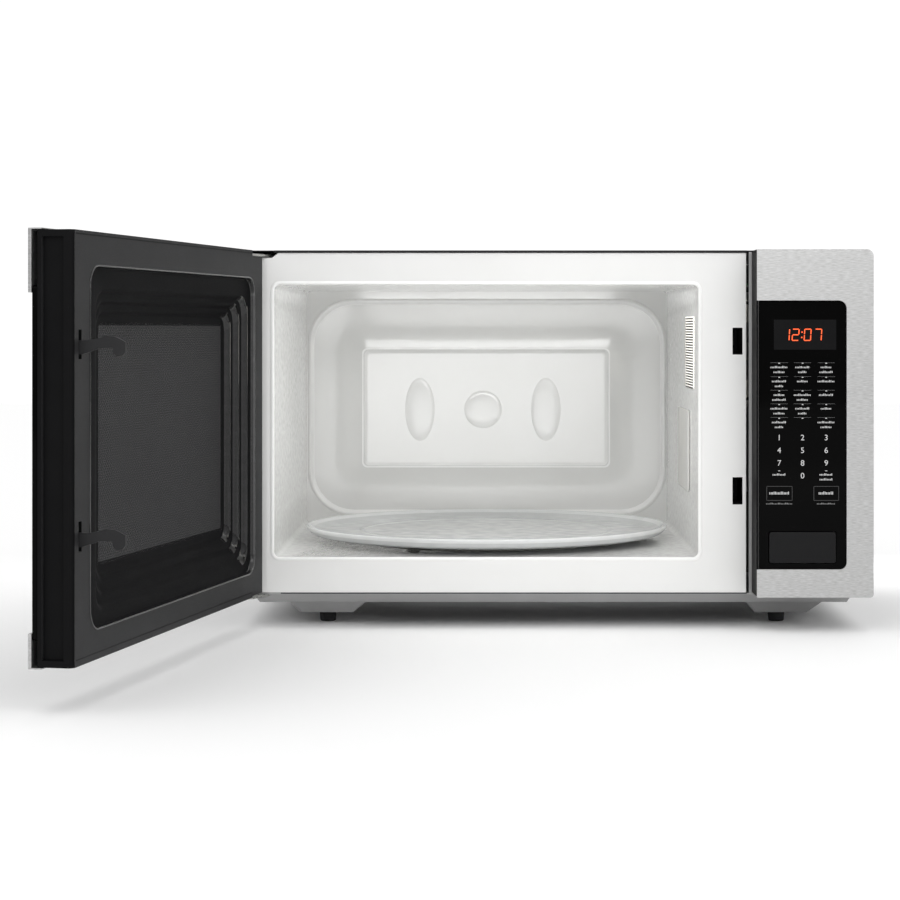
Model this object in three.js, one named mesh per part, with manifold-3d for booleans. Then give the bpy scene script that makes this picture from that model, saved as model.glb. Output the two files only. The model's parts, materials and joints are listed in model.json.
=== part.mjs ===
// Countertop microwave oven, millimetres, +Z up, +Y towards the back.
// The origin is the centre of the underside of the front left foot. Inside the cabinet group,
// x runs from the left side, y from the front plate's face and z from the worktop.
import * as THREE from 'three';
import { mergeVertices } from 'three/addons/utils/BufferGeometryUtils.js';
import Module from 'manifold-3d';

// Driving dimensions
const WIDTH = 552;
const TOP = 332;
const BODY_BOTTOM = 31;
const DEPTH = 400;
const SHEET = 0.9;
const GAP = 0.3;
const PROTRUSION = 34;
const CAVITY = { x0: 29.9, x1: 403.5, z0: 61.8, z1: 302, back: 358, radius: 5 };
const PLATE_RIGHT = 445.5;
const MOUNT_PLATE_LEFT = 447.7;
const SLOT = { x0: 433.6, x1: 442.3, upper: [240.4, 264], lower: [108.5, 132.4] };
const PANEL = { x0: 450.9, glassX1: 528.6, glassZ0: 54.9, glassZ1: 287.6, recess: 2.5 };
const BUTTON = { x0: 461.9, x1: 519.5, z0: 60.3, z1: 87 };
const DOOR = { width: 450, z0: 30.5, back: -1.5, pivotX: 8, pivotY: -15, openDegrees: 101 };
const RECESS = { x0: 30, x1: 418, z0: 53, z1: 307, radius: 14, depth: 20 };
const FOOT = { x: 74, frontY: 50, rearY: 340, height: 10.4, radius: 7 };
const PAN = { z: 21, front: 10, back: 390, embossZ: 10.7 };
const TRAY = { x: 216.7, y: 178, radius: 173, underside: 66.7, rim: 77 };
const DISH = { radius: 125, floor: 52.3 };
const ROLLER = { orbit: 98, radius: 6.9, count: 3, firstDegrees: -103 };
const FAN = { x: 478, z: 240, radius: 52 };
const HINGE_Z = { upper: 327.6, lower: 28.4 };

const wasm = await Module();
wasm.setup();

// Solid modelling helpers

function toSolid(geometry) {
  const bare = geometry.clone();
  bare.deleteAttribute('normal');
  bare.deleteAttribute('uv');
  const merged = mergeVertices(bare, 1e-4);
  return new wasm.Manifold(new wasm.Mesh({
    numProp: 3,
    vertProperties: new Float32Array(merged.attributes.position.array),
    triVerts: new Uint32Array(merged.index.array),
  }));
}

function toGeometry(solid) {
  const mesh = solid.getMesh();
  const geometry = new THREE.BufferGeometry();
  geometry.setAttribute('position', new THREE.BufferAttribute(mesh.vertProperties, 3));
  geometry.setIndex(new THREE.BufferAttribute(mesh.triVerts, 1));
  geometry.computeVertexNormals();
  return geometry;
}

function join(...geometries) {
  return toGeometry(geometries.map(toSolid).reduce((whole, next) => whole.add(next)));
}

function cut(base, ...tools) {
  return toGeometry(tools.map(toSolid).reduce((whole, tool) => whole.subtract(tool), toSolid(base)));
}

function box([x0, x1], [y0, y1], [z0, z1]) {
  const geometry = new THREE.BoxGeometry(x1 - x0, y1 - y0, z1 - z0);
  return geometry.translate((x0 + x1) / 2, (y0 + y1) / 2, (z0 + z1) / 2);
}

// A box whose upper rectangle differs from its lower one.
function frustum(lower, upper, [z0, z1]) {
  const geometry = new THREE.BoxGeometry(1, 1, 1);
  const position = geometry.attributes.position;
  for (let i = 0; i < position.count; i += 1) {
    const [x0, x1, y0, y1] = position.getZ(i) > 0 ? upper : lower;
    const x = position.getX(i) > 0 ? x1 : x0;
    const y = position.getY(i) > 0 ? y1 : y0;
    position.setXYZ(i, x, y, position.getZ(i) > 0 ? z1 : z0);
  }
  return geometry;
}

// A closed outline in x and z, with one radius for each corner from the lower left, anticlockwise.
function roundedOutline([x0, x1], [z0, z1], radii) {
  const [lowLeft, lowRight, highRight, highLeft] = [radii].flat().length > 1 ? radii : Array(4).fill(radii);
  const shape = new THREE.Shape();
  shape.moveTo(x0 + lowLeft, z0);
  shape.lineTo(x1 - lowRight, z0);
  if (lowRight) shape.absarc(x1 - lowRight, z0 + lowRight, lowRight, -Math.PI / 2, 0);
  shape.lineTo(x1, z1 - highRight);
  if (highRight) shape.absarc(x1 - highRight, z1 - highRight, highRight, 0, Math.PI / 2);
  shape.lineTo(x0 + highLeft, z1);
  if (highLeft) shape.absarc(x0 + highLeft, z1 - highLeft, highLeft, Math.PI / 2, Math.PI);
  shape.lineTo(x0, z0 + lowLeft);
  if (lowLeft) shape.absarc(x0 + lowLeft, z0 + lowLeft, lowLeft, Math.PI, Math.PI * 1.5);
  return shape;
}

function polygon(points) {
  return new THREE.Shape(points.map(([x, y]) => new THREE.Vector2(x, y)));
}

// Extrudes a shape drawn in x and z from yFront to yBack.
function extrudeY(shape, [yFront, yBack], curveSegments = 4) {
  const geometry = new THREE.ExtrudeGeometry(shape, { depth: yBack - yFront, bevelEnabled: false, curveSegments });
  return geometry.rotateX(Math.PI / 2).translate(0, yBack, 0);
}

// Extrudes a shape drawn in x and y from z0 to z1.
function extrudeZ(shape, [z0, z1], curveSegments = 6) {
  const geometry = new THREE.ExtrudeGeometry(shape, { depth: z1 - z0, bevelEnabled: false, curveSegments });
  return geometry.translate(0, 0, z0);
}

function rod(axis, [a, b], [low, high], radius, segments = 16) {
  const geometry = new THREE.CylinderGeometry(radius, radius, high - low, segments);
  const middle = (low + high) / 2;
  if (axis === 'x') return geometry.rotateZ(Math.PI / 2).translate(middle, a, b);
  if (axis === 'y') return geometry.translate(a, middle, b);
  return geometry.rotateX(Math.PI / 2).translate(a, b, middle);
}

function lathe(profile, segments) {
  const points = profile.map(([radius, height]) => new THREE.Vector2(radius, height));
  return new THREE.LatheGeometry(points, segments).rotateX(Math.PI / 2);
}

function range(count, make) {
  return Array.from({ length: count }, (_, i) => make(i));
}

// Materials
const LOOKS = {
  blackPaint: { color: '#1a1a1b', roughness: 0.55, metalness: 0.2 },
  whiteEnamel: { color: '#ececea', roughness: 0.25, metalness: 0 },
  brushedSteel: { color: '#c9c9c8', roughness: 0.35, metalness: 1 },
  galvanised: { color: '#b3b5b6', roughness: 0.5, metalness: 0.9 },
  zinc: { color: '#d4d4d0', roughness: 0.3, metalness: 1 },
  darkPlastic: { color: '#262627', roughness: 0.6, metalness: 0 },
  doorPaint: { color: '#3a3a3b', roughness: 0.5, metalness: 0.1 },
  blackGlass: { color: '#101011', roughness: 0.06, metalness: 0 },
  clearGlass: { color: '#d5dad9', roughness: 0.05, metalness: 0 },
  rubber: { color: '#202021', roughness: 0.85, metalness: 0 },
  whitePlastic: { color: '#e4e2db', roughness: 0.5, metalness: 0 },
  mica: { color: '#cfc7b4', roughness: 0.6, metalness: 0 },
  board: { color: '#2d6b3f', roughness: 0.5, metalness: 0 },
  copper: { color: '#9c5a2c', roughness: 0.4, metalness: 0.8 },
};

function part(name, look, geometry) {
  const mesh = new THREE.Mesh(geometry, new THREE.MeshStandardMaterial(LOOKS[look]));
  mesh.name = name;
  return mesh;
}

// Cabinet

function outerCover() {
  const outline = roundedOutline([0, WIDTH], [BODY_BOTTOM, TOP], [0, 0, 6, 6]);
  const inside = roundedOutline(
    [SHEET, WIDTH - SHEET], [BODY_BOTTOM - 1, TOP - SHEET], [0, 0, 5, 5]);
  const length = [-0.6, DEPTH];
  const shell = cut(extrudeY(outline, length, 3), extrudeY(inside, [length[0] - 1, length[1] + 1], 3));
  const slots = range(7, (i) => [
    box([WIDTH - 5, WIDTH + 1], [60 + i * 40, 84 + i * 40], [250, 256]),
    box([WIDTH - 5, WIDTH + 1], [60 + i * 40, 84 + i * 40], [270, 276]),
    box([-1, 5], [60 + i * 40, 84 + i * 40], [60, 66]),
  ]).flat();
  return cut(shell, ...slots);
}

function frontPlate() {
  const left = SHEET + GAP;
  const hinge = { reach: 28.2, step: 34.8, upper: 326.3, top: TOP - SHEET - GAP };
  const outline = polygon([
    [left, BODY_BOTTOM], [PLATE_RIGHT, BODY_BOTTOM], [PLATE_RIGHT, hinge.top], [hinge.step, hinge.top],
    [hinge.reach, hinge.upper - 0.8], [left, hinge.upper - 0.8],
  ]);
  const opening = roundedOutline([CAVITY.x0, CAVITY.x1], [CAVITY.z0, CAVITY.z1], CAVITY.radius);
  const slots = [SLOT.upper, SLOT.lower].map((z) => box([SLOT.x0, SLOT.x1], [-1, 2], z));
  return cut(extrudeY(outline, [0, 1]), extrudeY(opening, [-1, 2]), ...slots);
}

// The steel sheet that closes the component space behind the control panel.
function panelMount() {
  const outline = roundedOutline(
    [MOUNT_PLATE_LEFT, WIDTH - SHEET - GAP], [BODY_BOTTOM, TOP - SHEET - GAP], [0, 0, 5, 0]);
  return cut(extrudeY(outline, [0, 1]), box([470, 535], [-1, 2], [110, 300]));
}

function cavityShell() {
  const outer = roundedOutline(
    [CAVITY.x0 - SHEET, CAVITY.x1 + SHEET], [CAVITY.z0 - SHEET, CAVITY.z1 + SHEET], CAVITY.radius + SHEET);
  const inner = roundedOutline([CAVITY.x0, CAVITY.x1], [CAVITY.z0, CAVITY.z1], CAVITY.radius);
  const floorDish = rod('z', [TRAY.x, TRAY.y], [DISH.floor - SHEET, CAVITY.z0 - 0.2], DISH.radius + SHEET, 36);
  const dishInside = rod('z', [TRAY.x, TRAY.y], [DISH.floor, CAVITY.z0 + 2], DISH.radius, 36);
  const driveHole = rod('z', [TRAY.x, TRAY.y], [DISH.floor - 5, DISH.floor + 5], 6.5, 16);
  const port = box([CAVITY.x1 - 1, CAVITY.x1 + 3], [104, 184], [122, 178]);
  const lampSlots = range(6, (i) => box([CAVITY.x1 - 1, CAVITY.x1 + 3], [48 + i * 13, 56 + i * 13], [214, 268]));
  const shell = cut(
    join(extrudeY(outer, [1 + GAP, CAVITY.back], 4), floorDish), extrudeY(inner, [0, CAVITY.back + 1], 4));
  return cut(shell, dishInside, driveHole, port, ...lampSlots);
}

// A shallow rectangular pressing that reaches back from the sheet, narrowing by the inset.
function pressedBack(x, z, inset, depth, front) {
  const near = [...x, ...z];
  const far = [x[0] + inset, x[1] - inset, z[0] + inset, z[1] - inset];
  return frustum(far, near, [-depth, 0]).rotateX(Math.PI / 2).translate(0, front, 0);
}

function cavityRearWall() {
  const front = CAVITY.back + GAP;
  const pressing = { x: [89, 342.6], z: [121.2, 241.2], inset: 3, depth: 4 };
  const { x, z, inset, depth } = pressing;
  const sheet = box([CAVITY.x0 - 6, CAVITY.x1 + 6], [front, front + SHEET], [CAVITY.z0 - 6, CAVITY.z1 + 6]);
  const outside = pressedBack(
    [x[0] - SHEET, x[1] + SHEET], [z[0] - SHEET, z[1] + SHEET], inset, depth + SHEET, front + 0.1);
  return cut(join(sheet, outside), pressedBack(x, z, inset, depth, front - 0.1));
}

function basePan() {
  const left = 1.5;
  const right = WIDTH - 1.5;
  const flange = box([left, right], [1.5, DEPTH - 2], [29.4, BODY_BOTTOM - 0.4]);
  const body = frustum([16, WIDTH - 16, PAN.front + 4, PAN.back], [10, WIDTH - 10, PAN.front, PAN.back + 4],
    [PAN.z, 29.6]);
  const hollow = frustum([16 + SHEET, WIDTH - 16 - SHEET, PAN.front + 4 + SHEET, PAN.back - SHEET],
    [10 + SHEET, WIDTH - 10 - SHEET, PAN.front + SHEET, PAN.back + 4 - SHEET], [PAN.z + SHEET, BODY_BOTTOM]);
  const dimples = [];
  const dimpleHollows = [];
  const stemHoles = [];
  for (const x of [FOOT.x, WIDTH - FOOT.x]) {
    for (const y of [FOOT.frontY, FOOT.rearY]) {
      dimples.push(frustum([x - 22, x + 24, y - 26, y + 24], [x - 31, x + 36, y - 36, y + 34],
        [PAN.embossZ, PAN.z + 0.1]));
      dimpleHollows.push(frustum([x - 22 + SHEET, x + 24 - SHEET, y - 26 + SHEET, y + 24 - SHEET],
        [x - 31 + SHEET, x + 36 - SHEET, y - 36 + SHEET, y + 34 - SHEET],
        [PAN.embossZ + SHEET, PAN.z + SHEET + 0.2]));
      stemHoles.push(rod('z', [x, y], [PAN.embossZ - 1, PAN.embossZ + 5], 3.6, 12));
    }
  }
  return cut(join(flange, body, ...dimples), hollow, ...dimpleHollows, ...stemHoles);
}

function foot() {
  const { height, radius } = FOOT;
  return lathe([[0, 0], [radius - 0.6, 0], [radius, 0.8], [radius + 0.8, height], [3.2, height],
    [3.2, height + 4], [0, height + 4]], 16);
}

function backPanel() {
  const inside = [SHEET + GAP, WIDTH - SHEET - GAP];
  const outline = roundedOutline(inside, [BODY_BOTTOM, TOP - SHEET - GAP], [0, 0, 5, 5]);
  const fanSlots = range(6, (i) => box([436, 520], [DEPTH - 4, DEPTH + 1], [196 + i * 15, 203 + i * 15]));
  const airSlots = range(6, (i) => box([60 + i * 22, 70 + i * 22], [DEPTH - 4, DEPTH + 1], [250, 290]));
  const cordHole = rod('y', [500, 70], [DEPTH - 4, DEPTH + 1], 9.6, 16);
  return cut(extrudeY(outline, [DEPTH - 2, DEPTH - 0.8], 3), ...fanSlots, ...airSlots, cordHole);
}

function cordInlet() {
  const flange = rod('y', [500, 70], [DEPTH - 0.5, DEPTH + 2.5], 13, 20);
  const neck = rod('y', [500, 70], [DEPTH - 8, DEPTH], 9.2, 20);
  return cut(join(flange, neck), rod('y', [500, 70], [DEPTH - 9, DEPTH + 4], 4.5, 12));
}

function hingeBracket(z, inward, rear) {
  const { pivotX, pivotY } = DOOR;
  const arm = polygon([[2.2, rear], [26, rear], [26, 2], [17, pivotY + 2], [pivotX + 5, pivotY - 6.5],
    [pivotX - 5, pivotY - 6.5], [2.2, pivotY + 1]]);
  const pin = rod('z', [pivotX, pivotY], [Math.min(z, z + inward), Math.max(z, z + inward)], 3, 14);
  return join(extrudeZ(arm, [z - 1, z + 1]), pin);
}

// Control panel

function panelFascia() {
  const outline = (inset) => roundedOutline([PANEL.x0 + inset * 0.3, WIDTH - inset],
    [DOOR.z0 + inset, TOP - inset], [0.5, 3, 6, 0.5]);
  const shell = cut(extrudeY(outline(0), [-PROTRUSION, -8], 4),
    extrudeY(outline(1), [-PROTRUSION + PANEL.recess, 0], 4));
  const openLeft = box([PANEL.x0 - 1, PANEL.x0 + 3], [-PROTRUSION + PANEL.recess, 0], [DOOR.z0 + 1, TOP - 1]);
  const window = roundedOutline([PANEL.x0 + 1.5, PANEL.glassX1], [PANEL.glassZ0, PANEL.glassZ1], [0.5, 6, 7, 0.5]);
  return cut(shell, openLeft, extrudeY(window, [-PROTRUSION - 1, -PROTRUSION + PANEL.recess + 0.1], 4));
}

function panelHousing() {
  const front = -PROTRUSION + PANEL.recess + 2.6;
  const x = [PANEL.x0 + 0.2, WIDTH - 1.4];
  const z = [DOOR.z0 + 1.4, TOP - 1.4];
  const block = extrudeY(roundedOutline(x, z, [0.5, 3, 5, 0.5]), [front, -GAP], 3);
  const inside = box([x[0] + 2, x[1] - 2], [front + 2, 1], [z[0] + 2, z[1] - 2]);
  const buttonHole = box([BUTTON.x0 - 1, BUTTON.x1 + 1], [front - 1, front + 3], [BUTTON.z0 - 1, BUTTON.z1 + 1]);
  const displayHole = box([463, 519], [front - 1, front + 3], [244.8, 272.2]);
  return cut(block, inside, buttonHole, displayHole);
}

function controlGlass() {
  const front = -PROTRUSION + PANEL.recess + GAP;
  const outline = roundedOutline([PANEL.x0 + 0.4, PANEL.glassX1 + 5], [PANEL.glassZ0 - 5, PANEL.glassZ1 + 5], 3);
  const buttonHole = roundedOutline([BUTTON.x0 - 0.5, BUTTON.x1 + 0.5], [BUTTON.z0 - 0.5, BUTTON.z1 + 0.5], 2.5);
  return cut(extrudeY(outline, [front, front + 2], 3), extrudeY(buttonHole, [front - 1, front + 3], 3));
}

function releaseButton() {
  const cap = extrudeY(roundedOutline([BUTTON.x0, BUTTON.x1], [BUTTON.z0, BUTTON.z1], 2.2), [-32.2, -23], 3);
  const hollow = box([BUTTON.x0 + 2, BUTTON.x1 - 2], [-30, -20], [BUTTON.z0 + 2, BUTTON.z1 - 2]);
  const stem = box([486, 494], [-31, -16.5], [72, 78]);
  return join(cut(cap, hollow), stem);
}

function releaseLever() {
  const arm = box([484, 496], [-15.6, -13.4], [56, 100]);
  const pivotTube = rod('x', [-14.5, 54], [470, 510], 3.4, 12);
  return cut(join(arm, pivotTube), rod('x', [-14.5, 54], [469, 511], 1.8, 10));
}

function leverPin() {
  const pin = rod('x', [-14.5, 54], [462, 518], 1.4, 10);
  const posts = [[459, 463], [517, 521]].map((x) => box(x, [-18, -4], [50, 58]));
  return join(pin, ...posts, box([459, 521], [-6, -4], [50, 58]));
}

function displayModule() {
  const frame = box([464, 518], [-28.4, -20], [246, 271]);
  const pins = range(8, (i) => box([468 + i * 6, 469 + i * 6], [-20.5, -18.4], [250, 251]));
  return join(frame, ...pins);
}

function controlBoard() {
  const sheet = box([456, 545], [-18, -16.4], [108, 322]);
  const relays = [[460, 300], [482, 300], [504, 300]].map(([x, z]) =>
    box([x, x + 18], [-16.6, -3], [z - 16, z + 10]));
  const transformer = box([500, 536], [-16.6, -2], [220, 262]);
  const buzzer = rod('y', [475, 200], [-16.6, -6], 9, 16);
  return join(sheet, ...relays, transformer, buzzer);
}

// Interlock

function latchBracket() {
  const wall = box([443, 445], [1 + GAP, 62], [92, 280]);
  const ledges = [SLOT.upper, SLOT.lower].map((z) => box([432, 444], [3, 20], [z[0] - 2, z[0] + 1]));
  const flange = box([418, 444], [1 + GAP, 2.6], [275, 280]);
  const foot = box([418, 444], [1 + GAP, 2.6], [92, 97]);
  return join(wall, ...ledges, flange, foot);
}

function switchBody() {
  const body = box([-5, 5], [0, 16], [-14, 14]);
  const terminals = range(3, (i) => box([-1, 1], [15, 22], [-10 + i * 9, -6 + i * 9]));
  return cut(join(body, ...terminals), box([-2.3, 2.3], [-1, 6], [-3.3, 3.3]));
}

function switchPlunger() {
  return box([-2, 2], [-4.2, 3], [-3, 3]);
}

// Oven lining and power parts

function waveguide() {
  const x = [CAVITY.x1 + SHEET + GAP, 424];
  const block = box(x, [98, 216], [108, 192]);
  const inside = box([x[0] - 1, x[1] - 1], [99, 215], [109, 191]);
  return cut(block, inside, rod('x', [180, 150], [x[1] - 2, x[1] + 1], 13, 20));
}

function magnetron() {
  const plate = box([424.3, 426.3], [130, 226], [108, 192]);
  const dome = rod('x', [180, 150], [412, 425], 9, 16);
  const core = rod('x', [180, 150], [426, 486], 19, 20);
  const yoke = cut(box([426, 486], [138, 222], [110, 190]), box([428.5, 483.5], [137, 223], [112.5, 187.5]));
  const fins = range(7, (i) => box([436 + i * 6, 437 + i * 6], [142, 218], [112, 188]));
  const filter = box([485, 506], [150, 210], [122, 178]);
  return join(plate, dome, core, yoke, ...fins, filter);
}

function powerTransformer() {
  const core = box([452, 528], [250, 330], [24, 104]);
  const windings = [box([440, 540], [262, 318], [46, 62]), box([442, 538], [262, 318], [66, 84])];
  const lugs = box([452, 528], [244, 336], [22.6, 26]);
  return join(core, ...windings, lugs);
}

function hvCapacitor() {
  const can = extrudeZ(roundedOutline([424, 470], [346, 378], 15), [24, 118], 5);
  const terminals = [435, 459].map((x) => box([x - 1, x + 1], [358, 366], [117, 128]));
  return join(can, ...terminals);
}

function hvDiode() {
  const body = rod('x', [366, 150], [430, 452], 4, 12);
  const lead = rod('x', [366, 150], [422, 470], 0.8, 6);
  return join(body, lead);
}

function fanShroud() {
  const x = [FAN.x - 62, FAN.x + 62];
  const z = [FAN.z - 62, FAN.z + 62];
  const plate = box(x, [DEPTH - 8, DEPTH - 6], z);
  const ring = rod('y', [FAN.x, FAN.z], [DEPTH - 30, DEPTH - 7], FAN.radius + 4, 28);
  const bore = rod('y', [FAN.x, FAN.z], [DEPTH - 31, DEPTH - 5], FAN.radius + 2, 28);
  const posts = [-57.5, 57.5].map((dx) => box([FAN.x + dx - 3, FAN.x + dx + 3], [DEPTH - 55, DEPTH - 7],
    [FAN.z - 5, FAN.z + 5]));
  const bridge = box([FAN.x - 60, FAN.x + 60], [DEPTH - 55.5, DEPTH - 52.8], [FAN.z - 9, FAN.z + 9]);
  return join(cut(join(plate, ring), bore), ...posts, bridge);
}

function fanMotor() {
  const core = box([-28, 28], [-24, 0], [-30, 30]);
  const coil = box([-34, 34], [-20, -4], [-22, -8]);
  const hub = rod('y', [0, 0], [-24, 2], 9, 14);
  return cut(join(core, coil, hub), rod('y', [0, 0], [-10, 3], 2.2, 10));
}

function fanBlade() {
  const hub = rod('y', [0, 0], [4, 18], 13, 16);
  const shaft = rod('y', [0, 0], [-8, 5], 1.8, 10);
  const blades = range(5, (i) => {
    const blade = new THREE.BoxGeometry(FAN.radius - 14, 1.6, 22);
    blade.rotateX(Math.PI / 5).translate((FAN.radius + 10) / 2, 11, 0);
    return blade.rotateY((i * Math.PI * 2) / 5);
  });
  return join(hub, shaft, ...blades);
}

function lampHolder() {
  const socket = rod('z', [420, 84], [214, 236], 9, 14);
  const bracket = box([408, 412], [66, 102], [210, 236]);
  const base = box([408, 430], [70, 98], [210, 215]);
  return join(socket, bracket, base);
}

function lampBulb() {
  return lathe([[0, 0], [5, 0], [6, 6], [8.5, 14], [8.5, 20], [5, 26], [0, 28]], 14);
}

function filterBoard() {
  const sheet = box([432, 516], [230, 320], [306, 307.6]);
  const choke = rod('z', [460, 270], [307.4, 322], 12, 16);
  const fuse = box([480, 506], [240, 248], [307.4, 314]);
  const cap = box([484, 508], [280, 294], [307.4, 323]);
  return join(sheet, choke, fuse, cap);
}

function thermalCutout() {
  return join(box([405.2, 407], [286, 318], [238, 250]), rod('x', [302, 244], [406.8, 418], 8, 14));
}

function turntableMotor() {
  const can = rod('z', [0, 0], [36, 50.6], 25, 24);
  const ears = box([-32, 32], [-6, 6], [49, 50.6]);
  return cut(join(can, ears), rod('z', [0, 0], [42, 52], 5, 16));
}

// Turntable

function driveCoupler() {
  const shaft = rod('z', [0, 0], [43, 56], 4.4, 14);
  const hub = rod('z', [0, 0], [54.5, 65.6], 13, 18);
  const arms = range(3, (i) => box([0, 26], [-4, 4], [58, 65.6]).rotateZ(Math.PI / 3 + (i * Math.PI * 2) / 3));
  return join(shaft, hub, ...arms);
}

function glassTurntable() {
  const { radius, underside, rim } = TRAY;
  const plate = lathe([[0, underside], [146, underside], [166, rim - 4.5], [radius - 2, rim - 2.8], [radius, rim - 1.4],
    [radius - 1.4, rim], [radius - 6, rim - 0.8], [144, underside + 4], [0, underside + 4]], 48);
  const lugs = range(3, (i) => box([19, 25], [-4, 4], [60, underside + 1]).rotateZ((i * Math.PI * 2) / 3));
  return join(plate, ...lugs);
}

function rollerRing() {
  const { orbit } = ROLLER;
  const height = DISH.floor + GAP + ROLLER.radius;
  const band = cut(rod('z', [0, 0], [height - 2.5, height + 2.5], orbit - 5, 40),
    rod('z', [0, 0], [height - 3, height + 3], orbit - 11, 40));
  const stubs = range(ROLLER.count, (i) =>
    rod('x', [0, height], [orbit - 8, orbit + 6], 1.5, 10).rotateZ(rollerAngle(i)));
  return join(band, ...stubs);
}

function rollerAngle(i) {
  return THREE.MathUtils.degToRad(ROLLER.firstDegrees + (i * 360) / ROLLER.count);
}

function roller(i) {
  const wheel = cut(rod('x', [0, 0], [-4, 4], ROLLER.radius, 20), rod('x', [0, 0], [-5, 5], 1.9, 10));
  const mesh = part(`roller_${i + 1}`, 'whitePlastic', wheel);
  const angle = rollerAngle(i);
  mesh.rotation.z = angle;
  mesh.position.set(Math.cos(angle) * ROLLER.orbit, Math.sin(angle) * ROLLER.orbit,
    DISH.floor + GAP + ROLLER.radius);
  return mesh;
}

// Door, drawn closed

function doorFacia() {
  const outline = roundedOutline([0, DOOR.width], [DOOR.z0, TOP], [3, 0.5, 0.5, 6]);
  const window = roundedOutline([24.5, DOOR.width + 5], [PANEL.glassZ0, PANEL.glassZ1], [7, 0.5, 0.5, 7]);
  const inner = roundedOutline([1, DOOR.width + 5], [DOOR.z0 + 1, TOP - 1], [2.5, 0.5, 0.5, 5]);
  const shell = cut(extrudeY(outline, [-PROTRUSION, -24], 4), extrudeY(inner, [-PROTRUSION + 2.5, -20], 4));
  const openEnd = box([DOOR.width - 1, DOOR.width + 1], [-PROTRUSION + 2.5, -20], [DOOR.z0 + 4, TOP - 4]);
  return cut(shell, openEnd, extrudeY(window, [-PROTRUSION - 1, -PROTRUSION + 2.6], 4));
}

function doorGlass() {
  const front = -PROTRUSION + 2.5 + GAP;
  const outline = roundedOutline([19, DOOR.width - 0.4], [PANEL.glassZ0 - 5, PANEL.glassZ1 + 5], 3);
  return extrudeY(outline, [front, front + 3.5], 3);
}

function doorFrame() {
  const front = -PROTRUSION + 2.5 + 4.1;
  const x = [1.4, DOOR.width - 0.6];
  const chamfer = 6;
  const section = polygon([[x[0] + 0.8, front], [x[1], front], [x[1], DOOR.back - 3], [x[1] - 3, DOOR.back],
    [x[0] + chamfer, DOOR.back], [x[0], DOOR.back - chamfer], [x[0], front + 0.8]]);
  const block = extrudeZ(section, [DOOR.z0 + 1.3, TOP - 1.3]);
  const recess = extrudeY(
    roundedOutline([RECESS.x0, RECESS.x1], [RECESS.z0, RECESS.z1], RECESS.radius), [front - 1, 0], 5);
  const moat = cut(box([4.5, x[1] - 6], [front - 1, DOOR.back - 3], [DOOR.z0 + 9, TOP - 9]),
    box([RECESS.x0 - 3, RECESS.x1 + 3], [front - 2, 1], [RECESS.z0 - 3, RECESS.z1 + 3]));
  const channel = box([x[1] - 3.5, x[1] + 1], [front + 3, DOOR.back - 7], [DOOR.z0 + 6, TOP - 6]);
  const hookSlots = [SLOT.upper, SLOT.lower].map((z) => box([434, 439.6], [-6, 0], [z[0] + 1.6, z[1] - 1.6]));
  const hingePockets = [[HINGE_Z.upper - 2, TOP], [DOOR.z0 - 1, HINGE_Z.lower + 4.8]].map((z) =>
    box([-1, 36], [front - 1, 0], z));
  const pinHoles = [[HINGE_Z.upper - 14, TOP], [DOOR.z0 - 1, HINGE_Z.lower + 14]].map((z) =>
    rod('z', [DOOR.pivotX, DOOR.pivotY], z, 3.5, 14));
  const bosses = [[300, HINGE_Z.upper - 2], [HINGE_Z.lower + 4.8, 56]].map((z) => box([2, 14], [-24, -6], z));
  const body = join(cut(block, recess, moat, channel, ...hingePockets), ...bosses);
  return cut(body, ...hookSlots, ...pinHoles);
}

function chokeFrame() {
  const y = DOOR.back - RECESS.depth;
  const outline = roundedOutline([RECESS.x0 + 0.4, RECESS.x1 - 0.4], [RECESS.z0 + 0.4, RECESS.z1 - 0.4],
    RECESS.radius - 1);
  return extrudeY(outline, [y - 1.1, y - 0.3], 4);
}

function recessStep(inset, [y0, y1]) {
  const outer = roundedOutline([RECESS.x0 + 0.4, RECESS.x1 - 0.4], [RECESS.z0 + 0.4, RECESS.z1 - 0.4],
    RECESS.radius - 1);
  const hole = roundedOutline([RECESS.x0 + inset, RECESS.x1 - inset], [RECESS.z0 + inset, RECESS.z1 - inset],
    RECESS.radius);
  return cut(extrudeY(outer, [y0, y1], 4), extrudeY(hole, [y0 - 1, y1 + 1], 4));
}

function recessLiner() {
  const floor = DOOR.back - RECESS.depth;
  const steps = [[3, floor + 18.5], [10, floor + 13], [20, floor + 7]].map(([inset, top]) =>
    recessStep(inset, [floor, top]));
  return join(recessStep(30, [floor, floor + 2.4]), ...steps);
}

function windowFilm() {
  const y = DOOR.back - RECESS.depth;
  return extrudeY(roundedOutline([RECESS.x0 + 30.4, RECESS.x1 - 30.4], [RECESS.z0 + 30.4, RECESS.z1 - 30.4],
    RECESS.radius - 1), [y + 0.2, y + 0.8], 3);
}

function hook(z) {
  const arm = polygon([[-14, z + 1], [6, z + 1], [14, z + 2.4], [20, z + 4], [26, z + 3.4], [33, z],
    [33.3, z - 7], [31, z - 9.6], [27, z - 10.3], [24.6, z - 8], [24, z - 4], [14, z - 4.4], [2, z - 8.6], [-14, z - 9]]);
  const geometry = new THREE.ExtrudeGeometry(arm, { depth: 3.6, bevelEnabled: false });
  const axes = new THREE.Matrix4().makeBasis(new THREE.Vector3(0, 1, 0), new THREE.Vector3(0, 0, 1),
    new THREE.Vector3(1, 0, 0));
  return geometry.applyMatrix4(axes).translate(435, DOOR.back, 0);
}

function latchHooks() {
  const link = box([433.5, 440], [-20, -12], [104, 266]);
  return join(link, hook(254), hook(122));
}

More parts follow.
